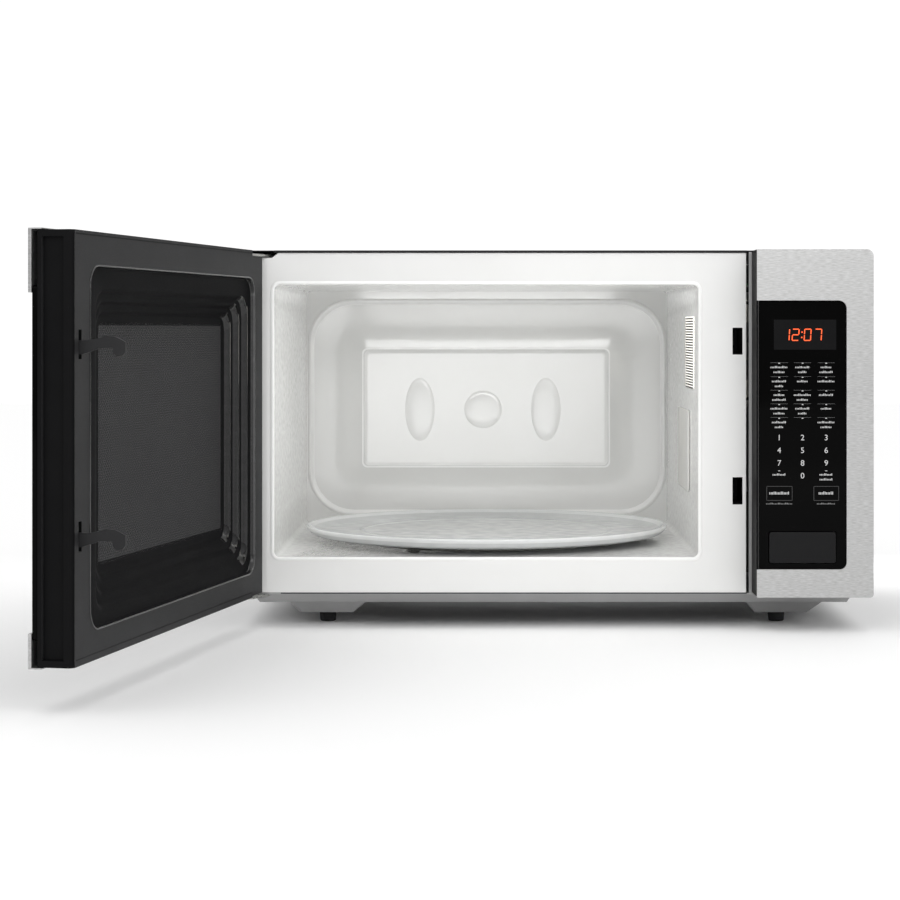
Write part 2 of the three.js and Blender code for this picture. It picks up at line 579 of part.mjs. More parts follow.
function latchSpring() {
  const turns = 5;
  const points = range(turns * 8 + 1, (i) => {
    const angle = (i * Math.PI) / 4;
    return new THREE.Vector3(2.6 * Math.cos(angle), 2.6 * Math.sin(angle), (i / (turns * 8)) * 22);
  });
  const wire = new THREE.Shape();
  wire.absarc(0, 0, 0.45, 0, Math.PI * 2);
  return new THREE.ExtrudeGeometry(wire, {
    extrudePath: new THREE.CatmullRomCurve3(points), steps: turns * 8, curveSegments: 3, bevelEnabled: false,
  });
}

// Scene graph

function placed(mesh, x, y, z) {
  mesh.position.set(x, y, z);
  return mesh;
}

function cabinetParts() {
  const parts = [
    part('outer_cover', 'blackPaint', outerCover()),
    part('front_plate', 'whiteEnamel', frontPlate()),
    part('panel_mount', 'galvanised', panelMount()),
    part('cavity_shell', 'whiteEnamel', cavityShell()),
    part('cavity_rear_wall', 'whiteEnamel', cavityRearWall()),
    part('base_pan', 'galvanised', basePan()),
    part('back_panel', 'blackPaint', backPanel()),
    part('cord_inlet', 'darkPlastic', cordInlet()),
    part('hinge_bracket_upper', 'zinc', hingeBracket(HINGE_Z.upper, -12, 34)),
    part('hinge_bracket_lower', 'zinc', hingeBracket(HINGE_Z.lower, 12, 9)),
    part('panel_fascia', 'brushedSteel', panelFascia()),
    part('panel_housing', 'darkPlastic', panelHousing()),
    part('control_glass', 'blackGlass', controlGlass()),
    part('display_module', 'darkPlastic', displayModule()),
    part('control_board', 'board', controlBoard()),
    part('release_button', 'darkPlastic', releaseButton()),
    part('release_lever', 'whitePlastic', releaseLever()),
    part('lever_pin', 'zinc', leverPin()),
    part('latch_bracket', 'darkPlastic', latchBracket()),
    part('waveguide', 'galvanised', waveguide()),
    part('waveguide_cover', 'mica', box([401.6, 403.2], [86, 196], [114, 188])),
    part('magnetron', 'galvanised', magnetron()),
    part('power_transformer', 'copper', powerTransformer()),
    part('hv_capacitor', 'galvanised', hvCapacitor()),
    part('hv_diode', 'darkPlastic', hvDiode()),
    part('fan_shroud', 'whitePlastic', fanShroud()),
    placed(part('fan_motor', 'galvanised', fanMotor()), FAN.x, DEPTH - 28.5, FAN.z),
    placed(part('fan_blade', 'whitePlastic', fanBlade()), FAN.x, DEPTH - 28.5, FAN.z),
    part('lamp_holder', 'whitePlastic', lampHolder()),
    placed(part('lamp_bulb', 'clearGlass', lampBulb()), 420, 84, 236.3),
    part('filter_board', 'board', filterBoard()),
    part('thermal_cutout', 'darkPlastic', thermalCutout()),
  ];
  const footPlaces = { front: FOOT.frontY, rear: FOOT.rearY };
  for (const [end, y] of Object.entries(footPlaces)) {
    parts.push(placed(part(`foot_${end}_left`, 'rubber', foot()), FOOT.x, y, 0));
    parts.push(placed(part(`foot_${end}_right`, 'rubber', foot()), WIDTH - FOOT.x, y, 0));
  }
  const switches = { upper: [436.8, 252], lower: [436.8, 120], monitor: [436.8, 186] };
  for (const [name, [x, z]] of Object.entries(switches)) {
    parts.push(placed(part(`door_switch_${name}`, 'darkPlastic', switchBody()), x, 38, z));
    parts.push(placed(part(`switch_plunger_${name}`, 'whitePlastic', switchPlunger()), x, 38, z));
  }
  return parts;
}

function turntable() {
  const group = new THREE.Group();
  group.position.set(TRAY.x, TRAY.y, 0);
  group.add(part('turntable_motor', 'galvanised', turntableMotor()));
  group.add(part('drive_coupler', 'whitePlastic', driveCoupler()));
  group.add(part('glass_turntable', 'clearGlass', glassTurntable()));
  group.add(part('roller_ring', 'whitePlastic', rollerRing()));
  for (let i = 0; i < ROLLER.count; i += 1) {
    group.add(roller(i));
  }
  return group;
}

function door() {
  const parts = [
    part('door_facia', 'brushedSteel', doorFacia()),
    part('door_glass', 'blackGlass', doorGlass()),
    part('door_frame', 'doorPaint', doorFrame()),
    part('door_screen', 'doorPaint', chokeFrame()),
    part('door_recess_liner', 'darkPlastic', recessLiner()),
    part('door_window_film', 'clearGlass', windowFilm()),
    part('latch_hooks', 'darkPlastic', latchHooks()),
    placed(part('latch_spring', 'zinc', latchSpring()), 437, -16, 267.5),
  ];
  const closed = new THREE.Group();
  closed.position.set(-DOOR.pivotX, -DOOR.pivotY, 0);
  closed.add(...parts);
  const swung = new THREE.Group();
  swung.position.set(DOOR.pivotX, DOOR.pivotY, 0);
  swung.rotation.z = THREE.MathUtils.degToRad(-DOOR.openDegrees);
  swung.add(closed);
  return swung;
}

const cabinet = new THREE.Group();
cabinet.position.set(-FOOT.x, -FOOT.frontY, 0);
cabinet.add(...cabinetParts(), turntable(), door());

const microwave = new THREE.Group();
microwave.add(cabinet);

export default microwave;
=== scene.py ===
"""Countertop microwave oven with its door open, in metres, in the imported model's frame."""

import json
import math

import bmesh
import bpy
from mathutils import Matrix, Vector


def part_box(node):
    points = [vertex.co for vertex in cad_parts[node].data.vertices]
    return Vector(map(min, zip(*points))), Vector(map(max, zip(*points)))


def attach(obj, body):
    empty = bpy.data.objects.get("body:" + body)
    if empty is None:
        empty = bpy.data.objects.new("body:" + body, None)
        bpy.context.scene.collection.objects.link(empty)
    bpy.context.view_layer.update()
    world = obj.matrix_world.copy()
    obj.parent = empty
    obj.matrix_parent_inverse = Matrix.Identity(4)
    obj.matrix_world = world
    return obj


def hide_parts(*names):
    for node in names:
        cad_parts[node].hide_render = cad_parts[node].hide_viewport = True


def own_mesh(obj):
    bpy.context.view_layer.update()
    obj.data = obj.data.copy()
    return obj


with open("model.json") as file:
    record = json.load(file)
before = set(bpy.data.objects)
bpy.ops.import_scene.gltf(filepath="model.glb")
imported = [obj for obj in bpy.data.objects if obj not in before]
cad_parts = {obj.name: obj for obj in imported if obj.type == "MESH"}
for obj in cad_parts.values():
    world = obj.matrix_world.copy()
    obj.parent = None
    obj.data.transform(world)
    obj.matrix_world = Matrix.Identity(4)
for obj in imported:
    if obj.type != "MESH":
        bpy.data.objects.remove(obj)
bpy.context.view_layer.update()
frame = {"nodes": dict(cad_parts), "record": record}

MM = 0.001
SAME_PLACE = 1e-6  # metres within which two points are one
NOISE_LOW, NOISE_HIGH = 0.3, 0.7  # where most of a noise texture's values lie
MIX_FIRST, MIX_SECOND, MIX_RESULT = 6, 7, 2  # the colour sockets of a Mix node
MOULD_GRAIN_MM = 0.03  # height of the grain that a mould leaves
LOOKS_THAT_WAY = 0.8  # cosine above which a face counts as facing a direction
joints = {joint["name"]: joint for joint in frame["record"]["behaviour"]["joints"]}

# The cabinet's own axes: x from its left side, y from the front plate's face, z from the worktop.
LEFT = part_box("outer_cover")[0].x
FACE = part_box("front_plate")[0].y
PIVOT = Vector(joints["door_swing"]["pos_m"])
OPEN_ANGLE = math.radians(joints["door_swing"]["range_deg"][1])
DOOR_TURN = (Matrix.Translation(PIVOT) @ Matrix.Rotation(-OPEN_ANGLE, 4, "Z")
             @ Matrix.Translation(-PIVOT))
INWARD = DOOR_TURN.to_3x3() @ Vector((0, 1, 0))  # where the open door's inner face looks


def cabinet_point(x, y, z):
    """A point given in millimetres from the cabinet's own axes."""
    return Vector((LEFT + x * MM, FACE + y * MM, z * MM))


# ---------------------------------------------------------------- camera, light and floor

EYE = (221, -1980, 262)  # level with the upper part of the cavity, looking straight in
LENS_MM, SENSOR_MM = 90, 36
LENS_SHIFT = (-0.0456, -0.1333)  # moves the view sideways and down without turning the camera
FLOOR_SIZE = 6


def make_camera():
    camera = bpy.data.objects.new("camera", bpy.data.cameras.new("camera"))
    bpy.context.scene.collection.objects.link(camera)
    camera.location = cabinet_point(*EYE)
    camera.rotation_euler = (math.pi / 2, 0, 0)
    camera.data.lens = LENS_MM
    camera.data.sensor_width = SENSOR_MM
    camera.data.shift_x, camera.data.shift_y = LENS_SHIFT
    camera.data.clip_end = 50
    bpy.context.scene.camera = camera


def area_light(name, place, target, size, energy, height=None, spread=180):
    """A rectangular light of the given width in metres and power in watts, aimed at a target."""
    light = bpy.data.objects.new(name, bpy.data.lights.new(name, "AREA"))
    bpy.context.scene.collection.objects.link(light)
    light.location = place
    light.rotation_euler = (Vector(target) - Vector(place)).to_track_quat("-Z", "Y").to_euler()
    light.data.shape = "RECTANGLE"
    light.data.size = size
    light.data.size_y = height or size
    light.data.energy = energy
    light.data.spread = math.radians(spread)


def make_studio():
    world = bpy.data.worlds.new("studio")
    bpy.context.scene.world = world
    world.use_nodes = True
    tree = world.node_tree
    where = add_node(tree, "ShaderNodeTexCoord")
    height = add_node(tree, "ShaderNodeSeparateXYZ", inputs={
        "Vector": where.outputs["Generated"]})
    sky = add_node(tree, "ShaderNodeMapRange", inputs={
        "Value": height.outputs["Z"], "To Min": 0.42, "To Max": 1.3})
    seen = add_node(tree, "ShaderNodeLightPath")
    level = add_node(tree, "ShaderNodeMix", inputs={
        "Factor": seen.outputs["Is Camera Ray"], "A": sky.outputs["Result"], "B": 1.05})
    background = tree.nodes["Background"]
    background.inputs["Color"].default_value = (1, 1, 1, 1)
    tree.links.new(level.outputs["Result"], background.inputs["Strength"])
    middle = cabinet_point(276, 100, 160)
    area_light("key_light", middle + Vector((1.0, -1.9, 1.5)), middle, 0.55, 2.6, height=0.35)
    area_light("steel_light", cabinet_point(880, -2300, 760), cabinet_point(500, 0, 330),
               0.9, 4.6, height=0.5)
    area_light("high_light", cabinet_point(60, -900, 760), cabinet_point(300, 150, 110),
               0.5, 0.2, spread=50)
    area_light("low_light", cabinet_point(235, -800, 40), cabinet_point(217, 250, 260),
               0.4, 0.09, spread=44)
    area_light("back_light", cabinet_point(276, 640, 60), cabinet_point(276, 150, 0),
               0.5, 4.0, height=0.05)
    area_light("mouth_light", cabinet_point(217, 22, 299.5), cabinet_point(217, 190, 110),
               0.3, 0.24, height=0.03)
    bpy.context.scene.view_settings.view_transform = "Standard"

    floor_mesh = bmesh.new()
    bmesh.ops.create_grid(floor_mesh, x_segments=1, y_segments=1, size=FLOOR_SIZE)
    floor = finish("floor", floor_mesh, [studio_floor()])


# ---------------------------------------------------------------- mesh helpers

def finish(name, bm, materials, smooth_degrees=None):
    """Turns a bmesh into an object at the origin."""
    mesh = bpy.data.meshes.new(name)
    bm.to_mesh(mesh)
    bm.free()
    piece = bpy.data.objects.new(name, mesh)
    bpy.context.scene.collection.objects.link(piece)
    for material in materials:
        mesh.materials.append(material)
    if smooth_degrees is not None:
        shade_by_angle(mesh, smooth_degrees)
    return piece


def shade_by_angle(mesh, degrees):
    mesh.shade_smooth()
    mesh.set_sharp_from_angle(angle=math.radians(degrees))


def add_bevel(piece, width_mm, segments=2, degrees=35):
    modifier = piece.modifiers.new("edge_round", "BEVEL")
    modifier.width = width_mm * MM
    modifier.segments = segments
    modifier.limit_method = "ANGLE"
    modifier.angle_limit = math.radians(degrees)
    modifier.harden_normals = True
    modifier.use_clamp_overlap = True


def refined(node, body, material, bevel_mm=0.3, segments=2, degrees=35, facing=None):
    """A copy of a CAD node with its flat faces merged and its edges rounded.

    facing is (direction, material) for the faces that look that way.
    """
    bm = bmesh.new()
    bm.from_mesh(frame["nodes"][node].data)
    bmesh.ops.remove_doubles(bm, verts=bm.verts, dist=2 * SAME_PLACE)
    bmesh.ops.dissolve_limit(bm, angle_limit=math.radians(0.5), verts=bm.verts, edges=bm.edges)
    materials = [material]
    if facing:
        direction, other = facing
        materials.append(other)
        bm.normal_update()
        for face in bm.faces:
            if face.normal.dot(direction) > LOOKS_THAT_WAY:
                face.material_index = 1
    piece = finish(node + "_finished", bm, materials, smooth_degrees=degrees)
    add_bevel(piece, bevel_mm, segments, degrees)
    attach(piece, body)
    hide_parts(node)
    return piece


def rounded_rectangle(x0, x1, z0, z1, radius, per_corner=8):
    """Corner arcs joined into one loop, anticlockwise in x and z."""
    centres = [(x1 - radius, z0 + radius, -90), (x1 - radius, z1 - radius, 0),
               (x0 + radius, z1 - radius, 90), (x0 + radius, z0 + radius, 180)]
    points = []
    for cx, cz, start in centres:
        for step in range(per_corner + 1):
            angle = math.radians(start + 90 * step / per_corner)
            points.append((cx + radius * math.cos(angle), cz + radius * math.sin(angle)))
    return points


def eased(profile, radius, steps=3):
    """Rounds each inner corner of a polyline with a short curve."""
    out = [Vector(profile[0])]
    for before, corner, after in zip(profile, profile[1:], profile[2:]):
        corner = Vector(corner)
        reach_in = min(radius, (Vector(before) - corner).length / 2)
        reach_out = min(radius, (Vector(after) - corner).length / 2)
        start = corner + (Vector(before) - corner).normalized() * reach_in
        end = corner + (Vector(after) - corner).normalized() * reach_out
        for step in range(steps + 1):
            t = step / steps
            out.append(start * (1 - t) ** 2 + corner * 2 * t * (1 - t) + end * t ** 2)
    out.append(Vector(profile[-1]))
    return out


def add_loop(bm, points):
    verts = [bm.verts.new(point) for point in points]
    return [bm.edges.new((a, b)) for a, b in zip(verts, verts[1:] + verts[:1])]


def loft(bm, loops, cap_first=False, cap_last=False):
    """Bridges each loop of points to the next."""
    rings = [add_loop(bm, points) for points in loops]
    for first, second in zip(rings, rings[1:]):
        bmesh.ops.bridge_loops(bm, edges=first + second)
    if cap_first:
        bmesh.ops.contextual_create(bm, geom=rings[0])
    if cap_last:
        bmesh.ops.contextual_create(bm, geom=rings[-1])


def plate_loops(outline, levels, place):
    """Loops of one rounded rectangle (x0, x1, z0, z1, radius), one for each (inset, depth)."""
    x0, x1, z0, z1, radius = outline
    loops = []
    for inset, depth in levels:
        corner = max(radius - inset, 0.4)
        ring = rounded_rectangle(x0 + inset, x1 - inset, z0 + inset, z1 - inset, corner)
        loops.append([place(x, depth, z) for x, z in ring])
    return loops


def between(first, second, share):
    """A rounded rectangle part way from one to another."""
    return tuple(a + (b - a) * share for a, b in zip(first, second))


def rectangle_loop(outline, depth, place):
    x0, x1, z0, z1, radius = outline
    return [place(x, depth, z) for x, z in rounded_rectangle(x0, x1, z0, z1, radius)]


def on_door(x, y, z):
    """A point of the closed door, carried to where the open door holds it."""
    return DOOR_TURN @ cabinet_point(x, y, z)


def add_box(bm, low, high, place=cabinet_point):
    """An axis-aligned box in the cabinet's or the closed door's millimetres."""
    made = bmesh.ops.create_cube(bm, size=1)["verts"]
    for vert in made:
        x, y, z = (low[i] if vert.co[i] < 0 else high[i] for i in range(3))
        vert.co = place(x, y, z)
    return made


# ---------------------------------------------------------------- materials

def linear(hex_colour):
    """An sRGB hex colour as the linear values that shaders take."""
    channels = [int(hex_colour[i:i + 2], 16) / 255 for i in (1, 3, 5)]
    values = [c / 12.92 if c <= 0.04045 else ((c + 0.055) / 1.055) ** 2.4 for c in channels]
    return (*values, 1.0)


def add_node(tree, kind, settings=None, inputs=None):
    """Adds a node, sets its properties, and sets or links its inputs."""
    node = tree.nodes.new(kind)
    for key, value in (settings or {}).items():
        setattr(node, key, value)
    for key, value in (inputs or {}).items():
        if isinstance(value, bpy.types.NodeSocket):
            tree.links.new(value, node.inputs[key])
        else:
            node.inputs[key].default_value = value
    return node


def new_material(name, colour, roughness, **sockets):
    """A material with its Principled shader set, ready for patterns."""
    material = bpy.data.materials.new(name)
    material.use_nodes = True
    shader = material.node_tree.nodes["Principled BSDF"]
    shader.inputs["Base Color"].default_value = linear(colour)
    shader.inputs["Roughness"].default_value = roughness
    for key, value in sockets.items():
        shader.inputs[key.replace("_", " ")].default_value = value
    material.diffuse_color = linear(colour)
    return material, material.node_tree, shader


def coordinates(tree, scale=(1, 1, 1), turn=0.0):
    """The object's own coordinates, stretched and turned."""
    where = add_node(tree, "ShaderNodeTexCoord")
    return add_node(tree, "ShaderNodeMapping", inputs={
        "Vector": where.outputs["Object"], "Rotation": (0, 0, turn),
        "Scale": scale}).outputs["Vector"]


def noise(tree, vector, millimetres, detail=3.0):
    """Noise whose features are about the given size."""
    return add_node(tree, "ShaderNodeTexNoise", inputs={
        "Vector": vector, "Scale": 1 / (millimetres * MM), "Detail": detail}).outputs["Fac"]


def spread(tree, value, low, high):
    """Maps 0..1 noise onto a range."""
    return add_node(tree, "ShaderNodeMapRange", inputs={
        "Value": value, "From Min": NOISE_LOW, "From Max": NOISE_HIGH,
        "To Min": low, "To Max": high}).outputs["Result"]


def colour_mix(tree, factor, first, second):
    mix = add_node(tree, "ShaderNodeMix", {"data_type": "RGBA"}, {"Factor": factor})
    mix.inputs[MIX_FIRST].default_value = linear(first)
    mix.inputs[MIX_SECOND].default_value = linear(second)
    return mix.outputs[MIX_RESULT]


def feed(shader, socket, pattern):
    """Links a pattern to one of the shader's sockets."""
    shader.id_data.links.new(pattern, shader.inputs[socket])


def bump(tree, shader, height, millimetres, strength=1.0):
    node = add_node(tree, "ShaderNodeBump", inputs={
        "Height": height, "Distance": millimetres * MM, "Strength": strength})
    feed(shader, "Normal", node.outputs["Normal"])


def studio_floor():
    material, tree, shader = new_material("white_studio_floor", "#ffffff", 0.9)
    grain = noise(tree, coordinates(tree), 4.0)
    feed(shader, "Roughness", spread(tree, grain, 0.86, 0.94))
    return material


def brushed_stainless(name="brushed_stainless", turn=0.0):
    """Stainless sheet brushed along its length: fine level streaks that stretch each highlight."""
    material, tree, shader = new_material(name, "#bdbdbb", 0.36, Metallic=1.0, Anisotropic=0.5)
    streak = coordinates(tree, scale=(0.13, 1, 1), turn=turn)
    fine = noise(tree, streak, 0.7, detail=5)
    broad = noise(tree, streak, 9.0, detail=3)
    grain = spread(tree, fine, 0.0, 1.0)
    feed(shader, "Base Color", colour_mix(tree, grain, "#b0b0af", "#cecece"))
    feed(shader, "Roughness", spread(tree, broad, 0.32, 0.42))
    bump(tree, shader, grain, 0.008, 0.4)
    return material


def white_enamel(name="fired_white_enamel", dark="#e9e9e7", light="#efefee"):
    """Sprayed and fired enamel on steel: glossy white with a faint orange-peel ripple."""
    material, tree, shader = new_material(name, light, 0.18, Coat_Weight=0.6, Coat_Roughness=0.07)
    where = coordinates(tree)
    ripple = noise(tree, where, 5.0, detail=2)
    feed(shader, "Base Color", colour_mix(tree, noise(tree, where, 60.0), dark, light))
    feed(shader, "Roughness", spread(tree, ripple, 0.14, 0.24))
    bump(tree, shader, ripple, 0.01, 0.08)
    return material


def powder_coat():
    """Black powder coat: fine pebbled grain with a soft sheen."""
    material, tree, shader = new_material("black_powder_coat", "#131314", 0.5,
                                          Specular_IOR_Level=0.3)
    where = coordinates(tree)
    pebble = noise(tree, where, 0.9, detail=2)
    feed(shader, "Base Color", colour_mix(tree, noise(tree, where, 12.0), "#0f0f10", "#171718"))
    feed(shader, "Roughness", spread(tree, pebble, 0.42, 0.6))
    bump(tree, shader, pebble, 0.06, 0.6)
    return material


def galvanised():
    """Electro-galvanised sheet: even pale grey with faint cloudy patches and rolling grain."""
    material, tree, shader = new_material("galvanised_steel", "#acacac", 0.42, Metallic=0.8)
    cloud = noise(tree, coordinates(tree), 26.0, detail=2)
    rolled = noise(tree, coordinates(tree, scale=(0.06, 1, 1)), 1.2, detail=3)
    feed(shader, "Base Color", colour_mix(tree, cloud, "#a3a3a3", "#b2b2b2"))
    feed(shader, "Roughness", spread(tree, rolled, 0.36, 0.48))
    bump(tree, shader, rolled, 0.01, 0.4)
    return material


def zinc_plate():
    """Bright zinc plating: pale metal with faint cloudy handling marks."""
    material, tree, shader = new_material("bright_zinc_plate", "#d2d2ce", 0.28, Metallic=1.0)
    cloud = noise(tree, coordinates(tree), 3.0)
    feed(shader, "Base Color", colour_mix(tree, cloud, "#c4c4c0", "#dededa"))
    feed(shader, "Roughness", spread(tree, cloud, 0.22, 0.38))
    bump(tree, shader, cloud, 0.02, 0.3)
    return material


def moulded_plastic(name, dark, light, roughness=0.45, shine=0.35):
    """Injection-moulded plastic: even colour with the fine grain of a spark-eroded mould."""
    material, tree, shader = new_material(name, dark, roughness, Specular_IOR_Level=shine)
    where = coordinates(tree)
    grain = noise(tree, where, 0.5, detail=2)
    feed(shader, "Base Color", colour_mix(tree, noise(tree, where, 20.0), dark, light))
    feed(shader, "Roughness", spread(tree, grain, roughness - 0.06, roughness + 0.08))
    bump(tree, shader, grain, MOULD_GRAIN_MM, 0.5)
    return material


def gloss_liner(name="gloss_dark_liner", shine=0.5):
    """Polished dark painted steel, wet-looking, so each pressed step carries a bright line."""
    material, tree, shader = new_material(name, "#111112", 0.14, Specular_IOR_Level=shine)
    where = coordinates(tree)
    feed(shader, "Roughness", spread(tree, noise(tree, where, 8.0), 0.10, 0.2))
    feed(shader, "Base Color", colour_mix(tree, noise(tree, where, 30.0), "#0e0e0f", "#151516"))
    bump(tree, shader, noise(tree, where, 2.5), 0.02, 0.3)
    return material


def matt_liner():
    """The same paint dulled by a stove-dried finish, for the flat shelf around the screen."""
    material, tree, shader = new_material("matt_dark_liner", "#131314", 0.6,
                                          Specular_IOR_Level=0.02)
    where = coordinates(tree)
    grain = noise(tree, where, 1.0)
    feed(shader, "Roughness", spread(tree, grain, 0.5, 0.62))
    feed(shader, "Base Color", colour_mix(tree, noise(tree, where, 30.0), "#131314", "#19191a"))
    bump(tree, shader, grain, 0.02, 0.3)
    return material


def clear_film():
    """Clear polyester film: all but invisible, with one soft sheen."""
    material, tree, shader = new_material("clear_polyester_film", "#505050", 0.35, Alpha=0.04,
                                          Specular_IOR_Level=0.1)
    feed(shader, "Roughness", spread(tree, noise(tree, coordinates(tree), 18.0), 0.28, 0.42))
    return material


def perforated_screen():
    """Painted steel punched with a staggered field of fine holes that read as dark dots."""
    material, tree, shader = new_material("perforated_screen", "#303031", 0.55,
                                          Specular_IOR_Level=0.06)
    where = add_node(tree, "ShaderNodeTexCoord")
    flat = add_node(tree, "ShaderNodeMapping", inputs={
        "Vector": where.outputs["Object"], "Rotation": (0, 0, OPEN_ANGLE)}).outputs["Vector"]
    parts = add_node(tree, "ShaderNodeSeparateXYZ", inputs={"Vector": flat})
    level = add_node(tree, "ShaderNodeCombineXYZ", inputs={
        "X": parts.outputs["X"], "Y": parts.outputs["Z"]}).outputs["Vector"]
    stagger = add_node(tree, "ShaderNodeMapping", inputs={
        "Vector": level, "Rotation": (0, 0, math.radians(45))}).outputs["Vector"]
    holes = add_node(tree, "ShaderNodeTexVoronoi", {"voronoi_dimensions": "2D"}, {
        "Vector": stagger, "Scale": 1 / (2.7 * MM), "Randomness": 0.0})
    inside = add_node(tree, "ShaderNodeMapRange", inputs={
        "Value": holes.outputs["Distance"], "From Min": 0.26, "From Max": 0.34})
    feed(shader, "Base Color", colour_mix(tree, inside.outputs["Result"], "#121212", "#414142"))
    bump(tree, shader, inside.outputs["Result"], 0.3, 0.8)
    return material


def black_glass():
    """Polished black glass: a near-black body under one clear, faint reflection."""
    material, tree, shader = new_material("polished_black_glass", "#080808", 0.05,
                                          Specular_IOR_Level=0.04)
    where = coordinates(tree)
    feed(shader, "Roughness", spread(tree, noise(tree, where, 25.0), 0.03, 0.08))
    feed(shader, "Base Color", colour_mix(tree, noise(tree, where, 80.0), "#040404", "#080808"))
    return material


def tray_glass(name="pressed_tray_glass", clear=0.22, dark="#dfe1e1", light="#e8eaea",
               rough=0.14):
    """Pressed soda-lime glass with a cloudy body and faint pressing ripple."""
    material, tree, shader = new_material(name, light, rough, IOR=1.5, Transmission_Weight=clear)
    where = coordinates(tree)
    ripple = noise(tree, where, 14.0, detail=1)
    feed(shader, "Base Color", colour_mix(tree, ripple, dark, light))
    feed(shader, "Roughness", spread(tree, ripple, rough - 0.03, rough + 0.05))
    bump(tree, shader, ripple, 0.02, 0.2)
    return material


def rubber():
    """Moulded black rubber: dull, with a fine matt tooth."""
    material, tree, shader = new_material("moulded_black_rubber", "#1a1a1b", 0.85)
    where = coordinates(tree)
    tooth = noise(tree, where, 0.6)
    feed(shader, "Base Color", colour_mix(tree, noise(tree, where, 6.0), "#161617", "#262627"))
    feed(shader, "Roughness", spread(tree, tooth, 0.78, 0.92))
    bump(tree, shader, tooth, 0.05, 0.5)
    return material


def printed_white(name="printed_white_ink", dark="#c6c6c6", light="#d8d8d8"):
    """Screen-printed ink: flat and slightly chalky."""
    material, tree, shader = new_material(name, light, 0.6, Specular_IOR_Level=0.2)
    chalk = noise(tree, coordinates(tree), 0.4)
    feed(shader, "Base Color", colour_mix(tree, chalk, dark, light))
    return material


def lit_orange():
    """Orange light-emitting digits behind smoked glass."""
    material, tree, shader = new_material("lit_orange_digits", "#ff5a1e", 0.4,
                                          Emission_Strength=0.75)
    shader.inputs["Emission Color"].default_value = linear("#f0561f")
    glow = noise(tree, coordinates(tree), 1.5)
    feed(shader, "Base Color", colour_mix(tree, glow, "#ff5018", "#ff6a2c"))
    return material


def lamp_glow():
    """The lamp behind the wall's perforations: a warm white glow."""
    material, tree, shader = new_material("lit_lamp_glass", "#fffaf0", 0.3, Emission_Strength=2.6)
    shader.inputs["Emission Color"].default_value = linear("#fffdf6")
    frost = noise(tree, coordinates(tree), 2.0)
    feed(shader, "Roughness", spread(tree, frost, 0.25, 0.45))
    return material


def plain_finish(name, dark, light, roughness, metallic=0.0, grain_mm=1.0):
    """A finish for an inner working part: two close tones and a fine grain."""
    material, tree, shader = new_material(name, dark, roughness, Metallic=metallic)
    where = coordinates(tree)
    grain = noise(tree, where, grain_mm)
    feed(shader, "Base Color", colour_mix(tree, noise(tree, where, grain_mm * 8), dark, light))
    feed(shader, "Roughness", spread(tree, grain, roughness - 0.05, roughness + 0.08))
    bump(tree, shader, grain, MOULD_GRAIN_MM, 0.4)
    return material


make_camera()
make_studio()

STEEL = brushed_stainless()
STEEL_DOOR = brushed_stainless("brushed_stainless_door", turn=OPEN_ANGLE)
ENAMEL = white_enamel()
# Brighter copy of the enamel: painted light, for the cavity's walls, the mouth's lip and the rear
# wall's ridge, panel and ovals.
ENAMEL_PAINTED_LIGHT = white_enamel("fired_white_enamel_painted_light", "#f7f7f5", "#fbfbfa")
# Darker copy of the enamel: painted shade, for the flat of the cavity's rear wall.
ENAMEL_PAINTED_SHADE = white_enamel("fired_white_enamel_painted_shade", "#dfdfdd", "#e5e5e3")
POWDER = powder_coat()
GALVANISED = galvanised()
ZINC = zinc_plate()
BLACK_ABS = moulded_plastic("moulded_black_abs", "#0f0f10", "#141415", shine=0.06)
BUTTON_ABS = moulded_plastic("satin_black_abs", "#121213", "#171718", 0.38, shine=0.14)
CHARCOAL_ABS = moulded_plastic("moulded_charcoal_abs", "#282829", "#2f2f30", 0.5, shine=0.12)
WHITE_NYLON = moulded_plastic("moulded_white_nylon", "#dcdad2", "#e6e4dd", 0.5)
LINER = gloss_liner()
RIM_BLACK = gloss_liner("polished_dark_rim", 1.0)
SHELF = matt_liner()
FILM = clear_film()
SCREEN = perforated_screen()
BLACK_GLASS = black_glass()
TRAY_GLASS = tray_glass()
# Whiter copy of the tray glass for the rim: a painted highlight; its lower roughness is the rim's
# polish.
RIM_GLASS_PAINTED_HIGHLIGHT = tray_glass("tray_rim_painted_highlight", 0.15, "#eceeed", "#f6f7f7", 0.07)
RUBBER = rubber()
INK = printed_white()
FAINT_INK = printed_white("printed_grey_ink", "#8b8b8b", "#9c9c9c")
DIM_INK = printed_white("printed_dim_ink", "#444444", "#505050")
DIGITS = lit_orange()
LAMP = lamp_glow()
CIRCUIT = plain_finish("green_solder_mask", "#1f5a33", "#2a6e40", 0.35)
MICA = plain_finish("pressed_mica_sheet", "#dddcd8", "#e6e5e1", 0.5, grain_mm=2.0)
IRON = plain_finish("varnished_lamination_iron", "#4a3f38", "#5c4d42", 0.5, metallic=0.5)


# ---------------------------------------------------------------- cabinet

OVAL_STEPS = 40
PANEL_DROP = 2.1  # how far the rear wall's middle panel is sunk
CAVITY_MOUTH = (29.9, 403.5, 61.8, 302, 5)  # x0, x1, z0, z1 and corner radius, in millimetres


def make_cabinet():
    refined("outer_cover", "cabinet", POWDER, 0.4)
    refined("front_plate", "cabinet", ENAMEL, 0.35, 3)
    refined("panel_mount", "cabinet", GALVANISED, 0.3)
    # The cavity takes the brighter enamel: painted light standing in for the light inside it.
    refined("cavity_shell", "cabinet", ENAMEL_PAINTED_LIGHT, 0.35)
    refined("base_pan", "cabinet", GALVANISED, 2.6, 4, 20)
    refined("back_panel", "cabinet", POWDER, 0.3)
    refined("cord_inlet", "cabinet", BLACK_ABS, 0.5)
    refined("hinge_bracket_upper", "cabinet", ZINC, 0.3)
    refined("hinge_bracket_lower", "cabinet", ZINC, 0.3)
    for node in ("foot_front_left", "foot_front_right", "foot_rear_left", "foot_rear_right"):
        refined(node, "cabinet", RUBBER, 0.5)


